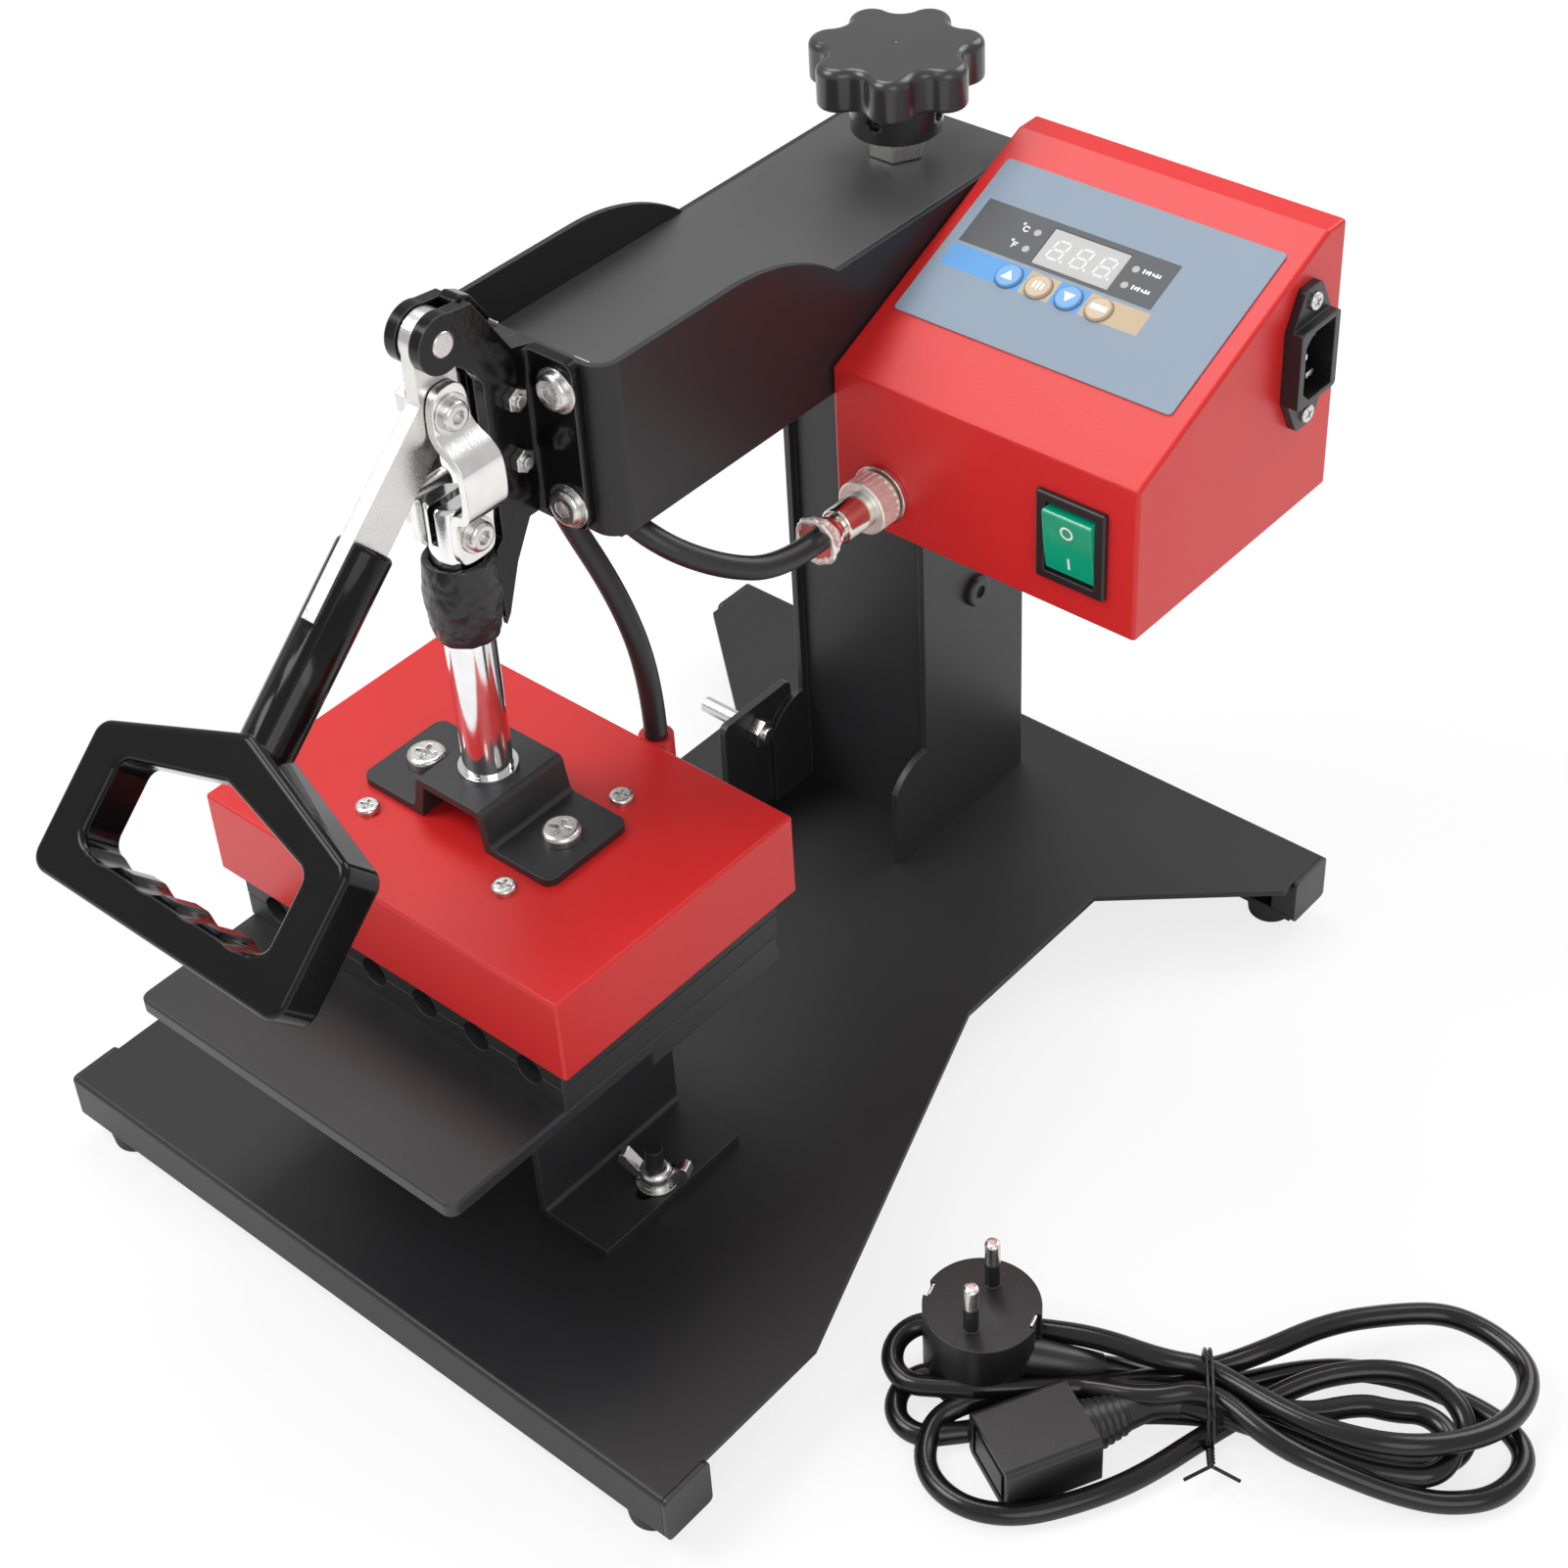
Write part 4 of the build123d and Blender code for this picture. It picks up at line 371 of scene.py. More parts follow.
def drawF(across, up, x, y):
    return merged(bars(across, up, x, y, letterF))


def drawEight(across, up, x, y):  # a slanted figure eight with its point
    lean = across - (up - y) * figure["lean"]
    rows = [(0, step, *figure["rowHalf"]) for step in figure["rows"]]
    rows += [(side, half, *figure["sideHalf"]) for side in figure["sides"] for half in figure["halves"]]
    right, above = figure["point"]
    point = away(lean, up, x + right, y + above) < figure["pointRadius"]
    return merged(bars(lean, up, x, y, rows) + [point])


def keyColour(across):  # blue behind the arrow keys, tan behind the others
    places = keys["places"]
    edges = [(places[i] + places[i + 1]) / 2 for i in range(3)]
    blueZone = merged([across < edges[0], across.between(edges[1], edges[2])])
    return blueZone.mixColour(panel["tan"], panel["blue"])


def overlayFinish():
    material, wire, shader = startMaterial("keypadPrint")
    across, up = slopePlane(wire)
    clouds = noise(wire, objectPlace(wire), panel["cloud"])
    band = zone(across, up, *panel["band"])
    shade = clouds.mixColour(panel["grey"], tuple(channel * panel["tint"] for channel in panel["grey"]))
    shade = zone(across, up, *panel["strip"]).mixColour(shade, keyColour(across))
    shade = band.mixColour(shade, panel["dark"])
    lights = merged([away(across, up, *place) < panel["lightRadius"] for place in panel["lights"]])
    shade = lights.mixColour(shade, panel["lightTint"])
    marks = []
    right, above, radius, thick = panel["degree"]
    for (x, y), draw in zip(panel["lights"][:2], (drawC, drawF)):
        marks.append(draw(across, up, x + panel["letterShift"], y))
        marks.append(ring(across, up, x + right, y + above, radius, thick))
    for x, y in panel["lights"][2:]:
        marks += bars(across, up, x, y, panel["icon"])
    shade = merged(marks).mixColour(shade, panel["white"])
    feed(wire, shader, "Base Color", shade)
    feed(wire, shader, "Roughness", panel["roughness"] + clouds * panel["spread"] - band * panel["spread"])
    feed(wire, shader, "Specular IOR Level", 0.1)
    grains = noise(wire, objectPlace(wire), panel["grain"])
    bump = wire.add("ShaderNodeBump", None, {"Distance": panel["grainHeight"], "Height": grains})
    feed(wire, shader, "Normal", bump)
    return material


def keyFinish():
    material, wire, shader = startMaterial("keyPrint")
    across, up = slopePlane(wire)
    first, second, third, fourth = keys["places"]
    row = keys["row"]
    rims = merged([ring(across, up, x, row, *keys["rim"]) for x in keys["places"]])
    shade = (rims * keys["rimShare"]).mixColour(keyColour(across), panel["dark"])
    tip, lean, foot = keys["arrow"]
    risen = wire.maths("ABSOLUTE", across - first) < (row + tip - up) * lean
    fallen = wire.maths("ABSOLUTE", across - third) < (up - row + tip) * lean
    signs = [risen * (up > row - foot), fallen * (up < row + foot)]
    level = row + keys["lift"]
    signs.append(bar(across, up, fourth, level, *keys["bar"]))
    for step, high in keys["sliders"]:
        signs.append(bar(across, up, second + step, level, keys["sliderHalf"], high))
    shade = merged(signs).mixColour(shade, panel["white"])
    clouds = noise(wire, objectPlace(wire), keys["cloud"])
    feed(wire, shader, "Base Color", shade)
    feed(wire, shader, "Roughness", keys["roughness"] + clouds * keys["spread"])
    feed(wire, shader, "Specular IOR Level", 0.3)
    feed(wire, shader, "Normal", softEdges(wire, keys["edge"]))
    return material


def displayFinish():
    material, wire, shader = startMaterial("displayWindow")
    across, up = slopePlane(wire)
    x, y = display["place"]
    figures = merged([drawEight(across, up, x + step, y) for step in display["figures"]])
    clouds = noise(wire, objectPlace(wire), display["cloud"])
    shade = clouds.mixColour(display["dark"], display["light"])
    shade = (figures * display["figureShare"]).mixColour(shade, display["figureTint"])
    feed(wire, shader, "Base Color", shade)
    feed(wire, shader, "Roughness", display["roughness"] + clouds * display["spread"])
    feed(wire, shader, "Specular IOR Level", 0.15)
    feed(wire, shader, "Normal", softEdges(wire, display["edge"]))
    return material


rocker = {  # millimetres from the rocker's middle
    "ring": (0, 5.9, 2.0, 0.75), "bar": (0, -6.2, 0.42, 2.2), "dark": (0.003, 0.22, 0.12),
    "light": (0.006, 0.36, 0.20), "white": (0.85, 0.87, 0.85), "glow": (0.0, 0.06, 0.034), "cloud": 160.0,
    "detail": 3.0, "roughness": 0.1, "spread": 0.1, "coat": 0.6, "edge": 0.0006,
}


def rockerFinish():  # clear green cap with a ring above and a bar below
    material, wire, shader = startMaterial("rockerGreen")
    place = objectPlace(wire)
    flat = wire.add("ShaderNodeMapping", {"vector_type": "TEXTURE"},
                    {"Vector": place, "Location": tuple(middle("switch_rocker")),
                     "Scale": (millimetre, millimetre, millimetre)})
    across = flat.part(0)
    up = flat.part(2)
    marks = merged([ring(across, up, *rocker["ring"]), bar(across, up, *rocker["bar"])])
    clouds = noise(wire, place, rocker["cloud"], rocker["detail"])
    shade = clouds.mixColour(rocker["dark"], rocker["light"])
    feed(wire, shader, "Base Color", marks.mixColour(shade, rocker["white"]))
    feed(wire, shader, "Roughness", rocker["roughness"] + clouds * rocker["spread"])
    feed(wire, shader, "Coat Weight", rocker["coat"])
    # painted glow: a faint green emission brightens the cap away from its white marks
    feed(wire, shader, "Emission Color", (1 - marks).mixColour((0, 0, 0), rocker["glow"]))
    feed(wire, shader, "Emission Strength", 1.0)
    feed(wire, shader, "Normal", softEdges(wire, rocker["edge"]))
    return material


finishes.update(keypadPrint=overlayFinish(), keyPrint=keyFinish(), displayWindow=displayFinish(),
                rockerGreen=rockerFinish())
print("finishes made", len(finishes))


# modelling helpers

def clearSelection():
    if bpy.context.object and bpy.context.object.mode != "OBJECT":
        bpy.ops.object.mode_set(mode="OBJECT")
    bpy.ops.object.select_all(action="DESELECT")


def choose(*objects):
    clearSelection()
    for item in objects:
        item.select_set(True)
    bpy.context.view_layer.objects.active = objects[-1]


def settle(piece):  # place, turn and size go into the mesh
    choose(piece)
    bpy.ops.object.transform_apply(location=True, rotation=True, scale=True)


def smooth(piece, angle=35):
    choose(piece)
    bpy.ops.object.shade_smooth_by_angle(angle=math.radians(angle))


def modify(piece, kind, **settings):  # a modifier is made, set and applied
    made = piece.modifiers.new(kind.lower(), kind)
    for key, value in settings.items():
        setattr(made, key, value)
    choose(piece)
    bpy.ops.object.modifier_apply(modifier=made.name)


def bevelEdges(piece, width, segments=2, angle=35):
    modify(piece, "BEVEL", width=width, segments=segments, limit_method="ANGLE",
           angle_limit=math.radians(angle))


def flatten(piece, angle=35):  # smooth round the bends, true on the flats
    smooth(piece, angle)
    modify(piece, "WEIGHTED_NORMAL", keep_sharp=True, weight=80)


def combine(piece, other, operation="DIFFERENCE"):  # the other shape is taken out, added or kept in common
    modify(piece, "BOOLEAN", operation=operation, solver="EXACT", object=other)
    bpy.data.objects.remove(other)
    return piece


def cleanMesh(piece, joined=0.0, straight=0.0, outward=False):
    choose(piece)
    bpy.ops.object.mode_set(mode="EDIT")
    bpy.ops.mesh.select_all(action="SELECT")
    if joined:
        bpy.ops.mesh.remove_doubles(threshold=joined)
    if straight:
        bpy.ops.mesh.dissolve_limited(angle_limit=math.radians(straight), delimit={"NORMAL"})
    if outward:
        bpy.ops.mesh.normals_make_consistent(inside=False)
    bpy.ops.object.mode_set(mode="OBJECT")


def join(name, pieces):
    choose(*pieces)
    if len(pieces) > 1:
        bpy.ops.object.join()
    made = bpy.context.object
    made.name = name
    made.data.name = name
    return made


def handOver(piece, name, finish, body, slot, *nodes):  # a finished piece joins the object
    piece.name = name
    piece.data.materials.clear()
    piece.data.materials.append(finishes[finish])
    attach(piece, body)
    if nodes:
        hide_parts(*nodes)
    return piece


def aimed(made, place, direction):  # a made piece's own z axis is pointed along the direction
    made.rotation_euler = Vector(direction).to_track_quat("Z", "Y").to_euler()
    made.location = place
    settle(made)
    return made


def rodAlong(place, direction, radius, length, edge=0.0, sides=64):  # a turned bar with broken edges
    clearSelection()
    bpy.ops.mesh.primitive_cylinder_add(vertices=sides, radius=radius * millimetre, depth=length * millimetre)
    made = aimed(bpy.context.object, at(*place), direction)
    if edge:
        bevelEdges(made, edge * millimetre, segments=3, angle=50)
        flatten(made, 40)
    return made


def hexRecess(place, direction, radius, depth):
    return rodAlong(place, direction, radius, 2 * depth, sides=6)


def crossRecess(place, direction, reach, depth):
    crossed = []
    for turn in (20, 110):
        clearSelection()
        bpy.ops.mesh.primitive_cube_add(size=2 * millimetre, rotation=(0, 0, math.radians(turn)))
        blade = bpy.context.object
        blade.scale = (reach, reach * 0.2, depth)
        bpy.ops.object.transform_apply(location=False, rotation=True, scale=True)
        crossed.append(aimed(blade, at(*place), direction))
    return combine(*crossed, "UNION")


def dimple(place, direction, radius, depth):
    clearSelection()
    bpy.ops.mesh.primitive_uv_sphere_add(segments=32, ring_count=16, radius=radius * millimetre)
    centre = at(*place) + Vector(direction) * (radius - depth) * millimetre
    return aimed(bpy.context.object, centre, direction)


def washer(place, direction, radius, hole, thick):
    made = rodAlong(place, direction, radius, thick)
    combine(made, rodAlong(place, direction, hole, 4 * thick))
    bevelEdges(made, 0.2 * millimetre, angle=50)
    flatten(made)
    return made


def curveOf(name, places, order=3, closed=False, resolution=12, **settings):  # one spline, in metres
    data = bpy.data.curves.new(name, "CURVE")
    for key, value in settings.items():
        setattr(data, key, value)
    spline = data.splines.new("NURBS" if order > 2 else "POLY")
    spline.points.add(len(places) - 1)
    for point, place in zip(spline.points, places):
        point.co = (*place, 1)
    if order > 2:
        spline.order_u = order
    spline.use_cyclic_u = closed
    spline.use_endpoint_u = not closed
    data.resolution_u = resolution
    made = bpy.data.objects.new(name, data)
    scene.collection.objects.link(made)
    return made


def meshOf(curve):
    choose(curve)
    bpy.ops.object.convert(target="MESH")
    return bpy.context.object


def outlineSolid(points, halfDepth, order=3):  # a filled closed outline, raised to both sides of its plane
    places = [(x * millimetre, y * millimetre, 0) for x, y in points]
    made = meshOf(curveOf("outline", places, order, True, 8, dimensions="2D", fill_mode="BOTH",
                          extrude=halfDepth * millimetre))
    cleanMesh(made, joined=0.000001, outward=True)
    return made


def standUp(made):  # an outline drawn in (y, z) is stood up in the press's middle plane
    made.matrix_world = Matrix.Translation(at(0, 0, 0)) @ Matrix(((0, 0, 1), (1, 0, 0), (0, 1, 0))).to_4x4()
    settle(made)
    return made


def ribbon(route, halfWidth, thick):  # a bar bent along (x, z) places, its width along y
    places = [(x * millimetre, z * millimetre, 0) for x, z in route]
    made = meshOf(curveOf("ribbon", places, resolution=7, dimensions="2D", fill_mode="NONE",
                          extrude=halfWidth * millimetre))
    made.matrix_world = Matrix.Translation(at(0, 0, 0)) @ Matrix(((1, 0, 0), (0, 0, -1), (0, 1, 0))).to_4x4()
    settle(made)
    modify(made, "SOLIDIFY", thickness=thick * millimetre, offset=0)
    return made


def turned(profile, steps=96):  # a closed (radius, z) outline spun round its z axis
    places = [(radius * millimetre, 0, z * millimetre) for radius, z in profile]
    made = meshOf(curveOf("profile", places, 3, True, 6, dimensions="3D"))
    modify(made, "SCREW", axis="Z", steps=steps, render_steps=steps, use_merge_vertices=True,
           merge_threshold=0.000001)
    cleanMesh(made, outward=True)
    return made


def crumple(piece, depth, size):
    texture = bpy.data.textures.new("crumple", "CLOUDS")
    texture.noise_scale = size * millimetre
    texture.noise_depth = 2
    modify(piece, "DISPLACE", texture=texture, strength=depth * millimetre, mid_level=0.5,
           texture_coords="LOCAL")


def dress(node, finish, width=0.0, angle=30, cutters=()):  # a smoothed copy with broken edges
    choose(frame["nodes"][node])
    bpy.ops.object.duplicate()
    piece = bpy.context.object
    piece.parent = None
    for key in list(piece.keys()):
        del piece[key]
    cleanMesh(piece, joined=0.000002, straight=0.6)
    for cutter in cutters:
        combine(piece, cutter)
    if width:
        bevelEdges(piece, width, angle=angle)
    flatten(piece, angle)
    words = node.split("_")
    title = words[0] + "".join(word.capitalize() for word in words[1:]) + "Skin"
    return handOver(piece, title, finish, bodyOf[node], slotOf[node], node)


# floor, backdrop and light

studio = {"floorSize": 12, "floor": (0.86, 0.86, 0.86, 1), "floorRoughness": 0.9, "whitened": 0.78,
          "sky": 0.55, "skySeen": 0.45, "skyMirrored": 0.1, "aim": (0, 0, 0.12)}
lamps = [  # name, place in metres from the press, size, watts
    ("keyLamp", (-0.9, -1.0, 1.9), 1.2, 26),
    ("fillLamp", (1.5, -0.9, 1.2), 1.4, 10),
    ("rearLamp", (0.3, 1.6, 1.5), 1.3, 15),
    ("slopeLamp", (-0.6, 0.4, 1.6), 0.7, 7),
]


def makeStage():  # a pale floor that the camera sees nearly white
    clearSelection()
    bpy.ops.mesh.primitive_plane_add(size=studio["floorSize"], location=(0, 0, 0))
    floor = bpy.context.object
    floor.name = "studioFloor"
    material, wire, shader = startMaterial("paleFloor")
    feed(wire, shader, "Base Color", studio["floor"])
    feed(wire, shader, "Roughness", studio["floorRoughness"])
    rays = wire.add("ShaderNodeLightPath", out=0)
    plain = wire.add("ShaderNodeEmission", None, {"Color": (1, 1, 1, 1), "Strength": 1.0})
    output = wire.tree.nodes["Material Output"]
    blend = wire.add("ShaderNodeMixShader", None, {0: rays * studio["whitened"]})
    wire.tree.links.new(shader.outputs[0], blend.socket.node.inputs[1])
    wire.tree.links.new(plain.socket, blend.socket.node.inputs[2])
    wire.tree.links.new(blend.socket, output.inputs["Surface"])
    floor.data.materials.append(material)


def makeLights():
    for name, place, size, power in lamps:
        clearSelection()
        bpy.ops.object.light_add(type="AREA", location=place)
        lamp = bpy.context.object
        lamp.name = name
        lamp.data.energy = power
        lamp.data.shape = "DISK"
        lamp.data.size = size
        toPress = Vector(studio["aim"]) - Vector(place)
        lamp.rotation_euler = toPress.to_track_quat("-Z", "Y").to_euler()
    world = bpy.data.worlds.new("studio")
    scene.world = world
    world.use_nodes = True
    wire = Wire(world.node_tree)
    backdrop = world.node_tree.nodes["Background"]
    seen = wire.add("ShaderNodeLightPath", out=0)
    mirrored = wire.add("ShaderNodeLightPath", out=3)
    through = wire.add("ShaderNodeLightPath", out=6)
    white = wire.maths("MAXIMUM", seen, through)
    strength = studio["sky"] + white * studio["skySeen"] + mirrored * studio["skyMirrored"]
    backdrop.inputs["Color"].default_value = (1, 1, 1, 1)
    world.node_tree.links.new(strength.socket, backdrop.inputs["Strength"])
    scene.view_settings.view_transform = "Standard"


makeStage()
makeLights()
print("stage and lights set")


# leads

leadDiameter = 0.0071
heaterDiameter = 0.0078
upperRoute = (
    (0.0525, 0.0995, 0.2197), (0.0525, 0.082, 0.2197), (0.0435, 0.065, 0.2265), (0.031, 0.05, 0.2395),
    (0.02065, 0.04895, 0.2455))
lowerRoute = (
    (0.02065, 0.04895, 0.2455), (0.0103, 0.0479, 0.2515), (-0.0014, 0.0483, 0.2503),
    (-0.0098, 0.0502, 0.243), (-0.0124, 0.054, 0.2313), (0.003, 0.0604, 0.2), (0.012, 0.062, 0.171),
    (0.012, 0.062, 0.1465))
hankRoute = (
    (0.2, 0.019, 0.017), (0.21, 0.026, 0.015), (0.22, 0.037, 0.01), (0.242, 0.049, 0.0038),
    (0.263, 0.078, 0.0038), (0.283, 0.091, 0.0038), (0.307, 0.096, 0.0038), (0.324, 0.095, 0.0038),
    (0.333, 0.087, 0.0038), (0.332, 0.071, 0.0038), (0.321, 0.059, 0.004), (0.308, 0.051, 0.007),
    (0.293, 0.044, 0.012), (0.274, 0.038, 0.016), (0.247, 0.043, 0.0168), (0.235, 0.029, 0.015),
    (0.215, 0.022, 0.012), (0.198, 0.01, 0.0105), (0.188, 0.004, 0.009), (0.1799, 0.002, 0.008),
    (0.1707, -0.0013, 0.007), (0.1674, -0.0109, 0.005), (0.1729, -0.0195, 0.0038),
    (0.183, -0.0204, 0.0038), (0.1904, -0.0128, 0.0038), (0.202, 0.0, 0.0038), (0.218, 0.019, 0.0038),
    (0.247, 0.043, 0.0038), (0.275, 0.054, 0.0038), (0.296, 0.059, 0.0038), (0.308, 0.065, 0.0038),
    (0.316, 0.076, 0.004), (0.313, 0.087, 0.006), (0.303, 0.092, 0.009), (0.291, 0.09, 0.011),
    (0.278, 0.082, 0.011), (0.264, 0.067, 0.008), (0.252, 0.037, 0.0038), (0.245, 0.01, 0.0038),
    (0.236, -0.008, 0.0038), (0.224, -0.025, 0.0038), (0.208, -0.033, 0.0038), (0.191, -0.029, 0.0038),
    (0.183, -0.013, 0.0055), (0.191, -0.001, 0.01), (0.203, 0.01, 0.012), (0.219, 0.025, 0.012),
    (0.241, 0.052, 0.0103), (0.251, 0.065, 0.014), (0.261, 0.088, 0.014), (0.275, 0.105, 0.013),
    (0.287, 0.116, 0.012), (0.301, 0.118, 0.012), (0.314, 0.115, 0.012), (0.321, 0.108, 0.012),
    (0.324, 0.096, 0.013), (0.322, 0.083, 0.015), (0.315, 0.07, 0.017), (0.305, 0.059, 0.019),
    (0.291, 0.052, 0.019), (0.273, 0.048, 0.018), (0.243, 0.049, 0.0168), (0.232, 0.041, 0.019),
    (0.211, 0.035, 0.02), (0.193, 0.026, 0.019), (0.18, 0.0183, 0.018), (0.169, 0.0118, 0.0165),
    (0.1611, 0.0074, 0.015), (0.1587, -0.001, 0.013), (0.1629, -0.0086, 0.0115), (0.1713, -0.011, 0.011),
    (0.18, -0.0062, 0.012), (0.193, 0.001, 0.014), (0.216, 0.023, 0.012), (0.245, 0.046, 0.0103),
    (0.272, 0.055, 0.01), (0.284, 0.071, 0.01), (0.2935, 0.0746, 0.01), (0.3011, 0.0801, 0.01),
    (0.3105, 0.0786, 0.0095), (0.3161, 0.0709, 0.0095), (0.3146, 0.0615, 0.0095), (0.307, 0.056, 0.0095),
    (0.295, 0.05, 0.01), (0.275, 0.047, 0.01), (0.2495, 0.0396, 0.0103), (0.235, 0.0334, 0.01),
    (0.2296, 0.0227, 0.01))


def routeCurve(name, route, diameter):  # one smooth open spline over the route's points
    places = [(x + pressAxis.x, y + pressAxis.y, z) for x, y, z in route]
    return curveOf(name, places, resolution=8, dimensions="3D", bevel_depth=diameter / 2, bevel_resolution=5,
                   use_fill_caps=True)


def pathOf(route):  # points along the smooth spline itself
    bare = routeCurve("bareRoute", route, 0)
    bpy.context.view_layer.update()
    mesh = bpy.data.meshes.new_from_object(bare)
    points = [vertex.co.copy() for vertex in mesh.vertices]
    bpy.data.objects.remove(bare)
    bpy.data.meshes.remove(mesh)
    return points


def lengthOf(points):
    return sum((points[i + 1] - points[i]).length for i in range(len(points) - 1))


heaterHalves = {  # route, node, the two bodies, where the blend starts and ends, exit in press millimetres
    "heaterLeadUpper": (upperRoute, "heater_lead_upper", ("frame", "arm"), (52.5, 84, 219.7),
                        (28, 49.7, 241.3), (52.5, 99.5, 219.7)),
    "heaterLeadLower": (lowerRoute, "heater_lead_lower", ("arm", "press_head"), (-9.8, 50.2, 243),
                        (12, 62, 158), (20.65, 48.95, 245.5)),
}


def layHeaterLead(name):
    route, node, bodies, start, end, leaves = heaterHalves[name]
    piece = meshOf(routeCurve(name, route, heaterDiameter))
    points = pathOf(route)
    smooth(piece, 60)
    piece.name = name
    piece.data.materials.append(finishes["heaterSkin"])
    tuple(at(*start))
    tuple(at(*end))
    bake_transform(piece)
    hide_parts(node)
    tuple(at(*leaves))


for name in heaterHalves:
    layHeaterLead(name)
mainsLead = routeCurve("mainsLead", hankRoute, leadDiameter)
mainsLead.data.materials.append(finishes["leadSkin"])
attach(mainsLead, "frame")
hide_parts("mains_lead")
print("leads laid", round(lengthOf(pathOf(hankRoute)), 3))

tieWire = {  # millimetres; the loop is in halves of its width and in heights
    "place": (247.0, 43.0), "turn": 37.0, "half": 14.5, "high": 21.0, "low": 0.6, "wire": 0.6, "apart": 0.8,
    "loop": ((-1.0, 0.30), (-1.02, 0.75), (-0.75, 1.0), (0.1, 1.06), (0.8, 1.0), (1.05, 0.6), (1.02, 0.1),
             (0.6, 0.0), (-0.4, 0.0), (-0.95, 0.05), (-1.05, 0.28)),
    "knot": (1.08, 0.28), "twisted": 14, "points": 26, "turnStep": 1.1, "twistRadius": 0.9, "advance": 0.45,
    "endReach": 0.6, "endStep": 0.9, "spread": (0.8, 0.5), "lowest": 0.9,
}


def makeTie():  # thin wire bent round the bundle, its two ends twisted together below on the near side
    turn = math.radians(tieWire["turn"])
    side = Vector((-math.sin(turn), math.cos(turn), 0))
    along = Vector((math.cos(turn), math.sin(turn), 0))
    rise = Vector((0, 0, 1))
    centre = at(*tieWire["place"], tieWire["low"])
    half = tieWire["half"] * millimetre
    high = tieWire["high"] * millimetre
    routes = []
    for shift in (-tieWire["apart"], tieWire["apart"]):
        start = centre + along * shift * millimetre
        routes.append([start + side * out * half + rise * up * high for out, up in tieWire["loop"]])
    out, up = tieWire["knot"]
    knot = centre - side * half * out + rise * up * high
    wide, down = tieWire["spread"]
    for sign, phase in ((-1, 0), (1, math.pi)):
        route = []
        for i in range(tieWire["points"]):
            free = i - tieWire["twisted"]
            place = knot - side * tieWire["advance"] * min(i, tieWire["twisted"]) * millimetre
            if free < 0:
                angle = i * tieWire["turnStep"] + phase
                aside = along * math.cos(angle) + rise * math.sin(angle)
                place = place + aside * tieWire["twistRadius"] * millimetre
            else:
                reach = (tieWire["endReach"] + free * tieWire["endStep"]) * millimetre
                place = place + (along * sign * wide - side * down) * reach
            place.z = max(place.z, tieWire["lowest"] * millimetre)
            route.append(place)
        routes.append(route)
    pieces = [curveOf("tieWire", route, dimensions="3D", bevel_depth=tieWire["wire"] * millimetre,
                      bevel_resolution=2) for route in routes]
    tie = join("leadTieWire", [meshOf(piece) for piece in pieces])
    smooth(tie, 60)
    return handOver(tie, "leadTieWire", "leadSkin", "frame", slotOf["lead_tie"], "lead_tie")


leadTie = makeTie()


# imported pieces, dressed

dressed = {  # node: finish, width of the broken edge in millimetres
    "base_plate": ("shadedSheet", 0.5), "column": ("blackSheet", 0.4), "arm_channel": ("shadedSheet", 0.3),
    "arm_top": ("litTopSheet", 0.3), "hat_bracket": ("blackSheet", 0.4), "table_plate": ("blackSheet", 0.4),
    "table_bracket": ("blackSheet", 0.4), "box_shell": ("redPaint", 0), "box_back": ("redPaint", 0.2),
    "platen_cover": ("redPaint", 0), "clamp_left": ("castBlack", 0.7), "clamp_right": ("castBlack", 0.7),
    "lever_plate": ("zincSteel", 0.5), "plunger": ("chrome", 0.2), "link_bolt": ("zincSteel", 0.2),
    "link_studs": ("zincSteel", 0.2), "hat_screws": ("zincSteel", 0.2),
    "cover_screws": ("zincSteel", 0.2), "clamp_bolts": ("zincSteel", 0.2),
    "wing_nut_left": ("zincSteel", 0.3), "wing_nut_right": ("zincSteel", 0.3),
    "stop_bolt": ("zincSteel", 0.2), "pressure_screw": ("zincSteel", 0.3),
    "cross_nut": ("zincSteel", 0.3), "cross_bolts": ("blackSheet", 0.2), "box_mounts": ("zincSteel", 0.2),
    "box_screws": ("zincSteel", 0.1), "box_corner_blocks": ("zincSteel", 0.1),
    "plug_ring": ("knurled", 0.15), "heater_socket": ("nickel", 0.2), "heater_plug": ("nickel", 0.2),
    "heater_block": ("blackBlock", 0.3), "pen_tray": ("blackBlock", 0.3),
    "heater_rods": ("zincSteel", 0.2), "star_knob": ("knobBlack", 0), "handle_grip": ("glossBlack", 0),
    "end_caps": ("mouldedBlack", 0.3), "rubber_feet": ("rubber", 0.3),
    "switch_bezel": ("mouldedBlack", 0.3), "mains_inlet": ("mouldedBlack", 0.3),
    "mains_plug": ("mouldedBlack", 0.4), "mains_connector": ("mouldedBlack", 0.4),
    "lead_clip": ("zincSteel", 0.2), "insulation": ("fibre", 0.3), "inlet_pins": ("pinSteel", 0.1),
    "control_board": ("boardGreen", 0.1), "display": ("displayWindow", 0.1),
    "panel_overlay": ("keypadPrint", 0), "switch_rocker": ("rockerGreen", 0.2), "key_up": ("keyPrint", 0),
    "key_set": ("keyPrint", 0), "key_down": ("keyPrint", 0), "key_power": ("keyPrint", 0),
}
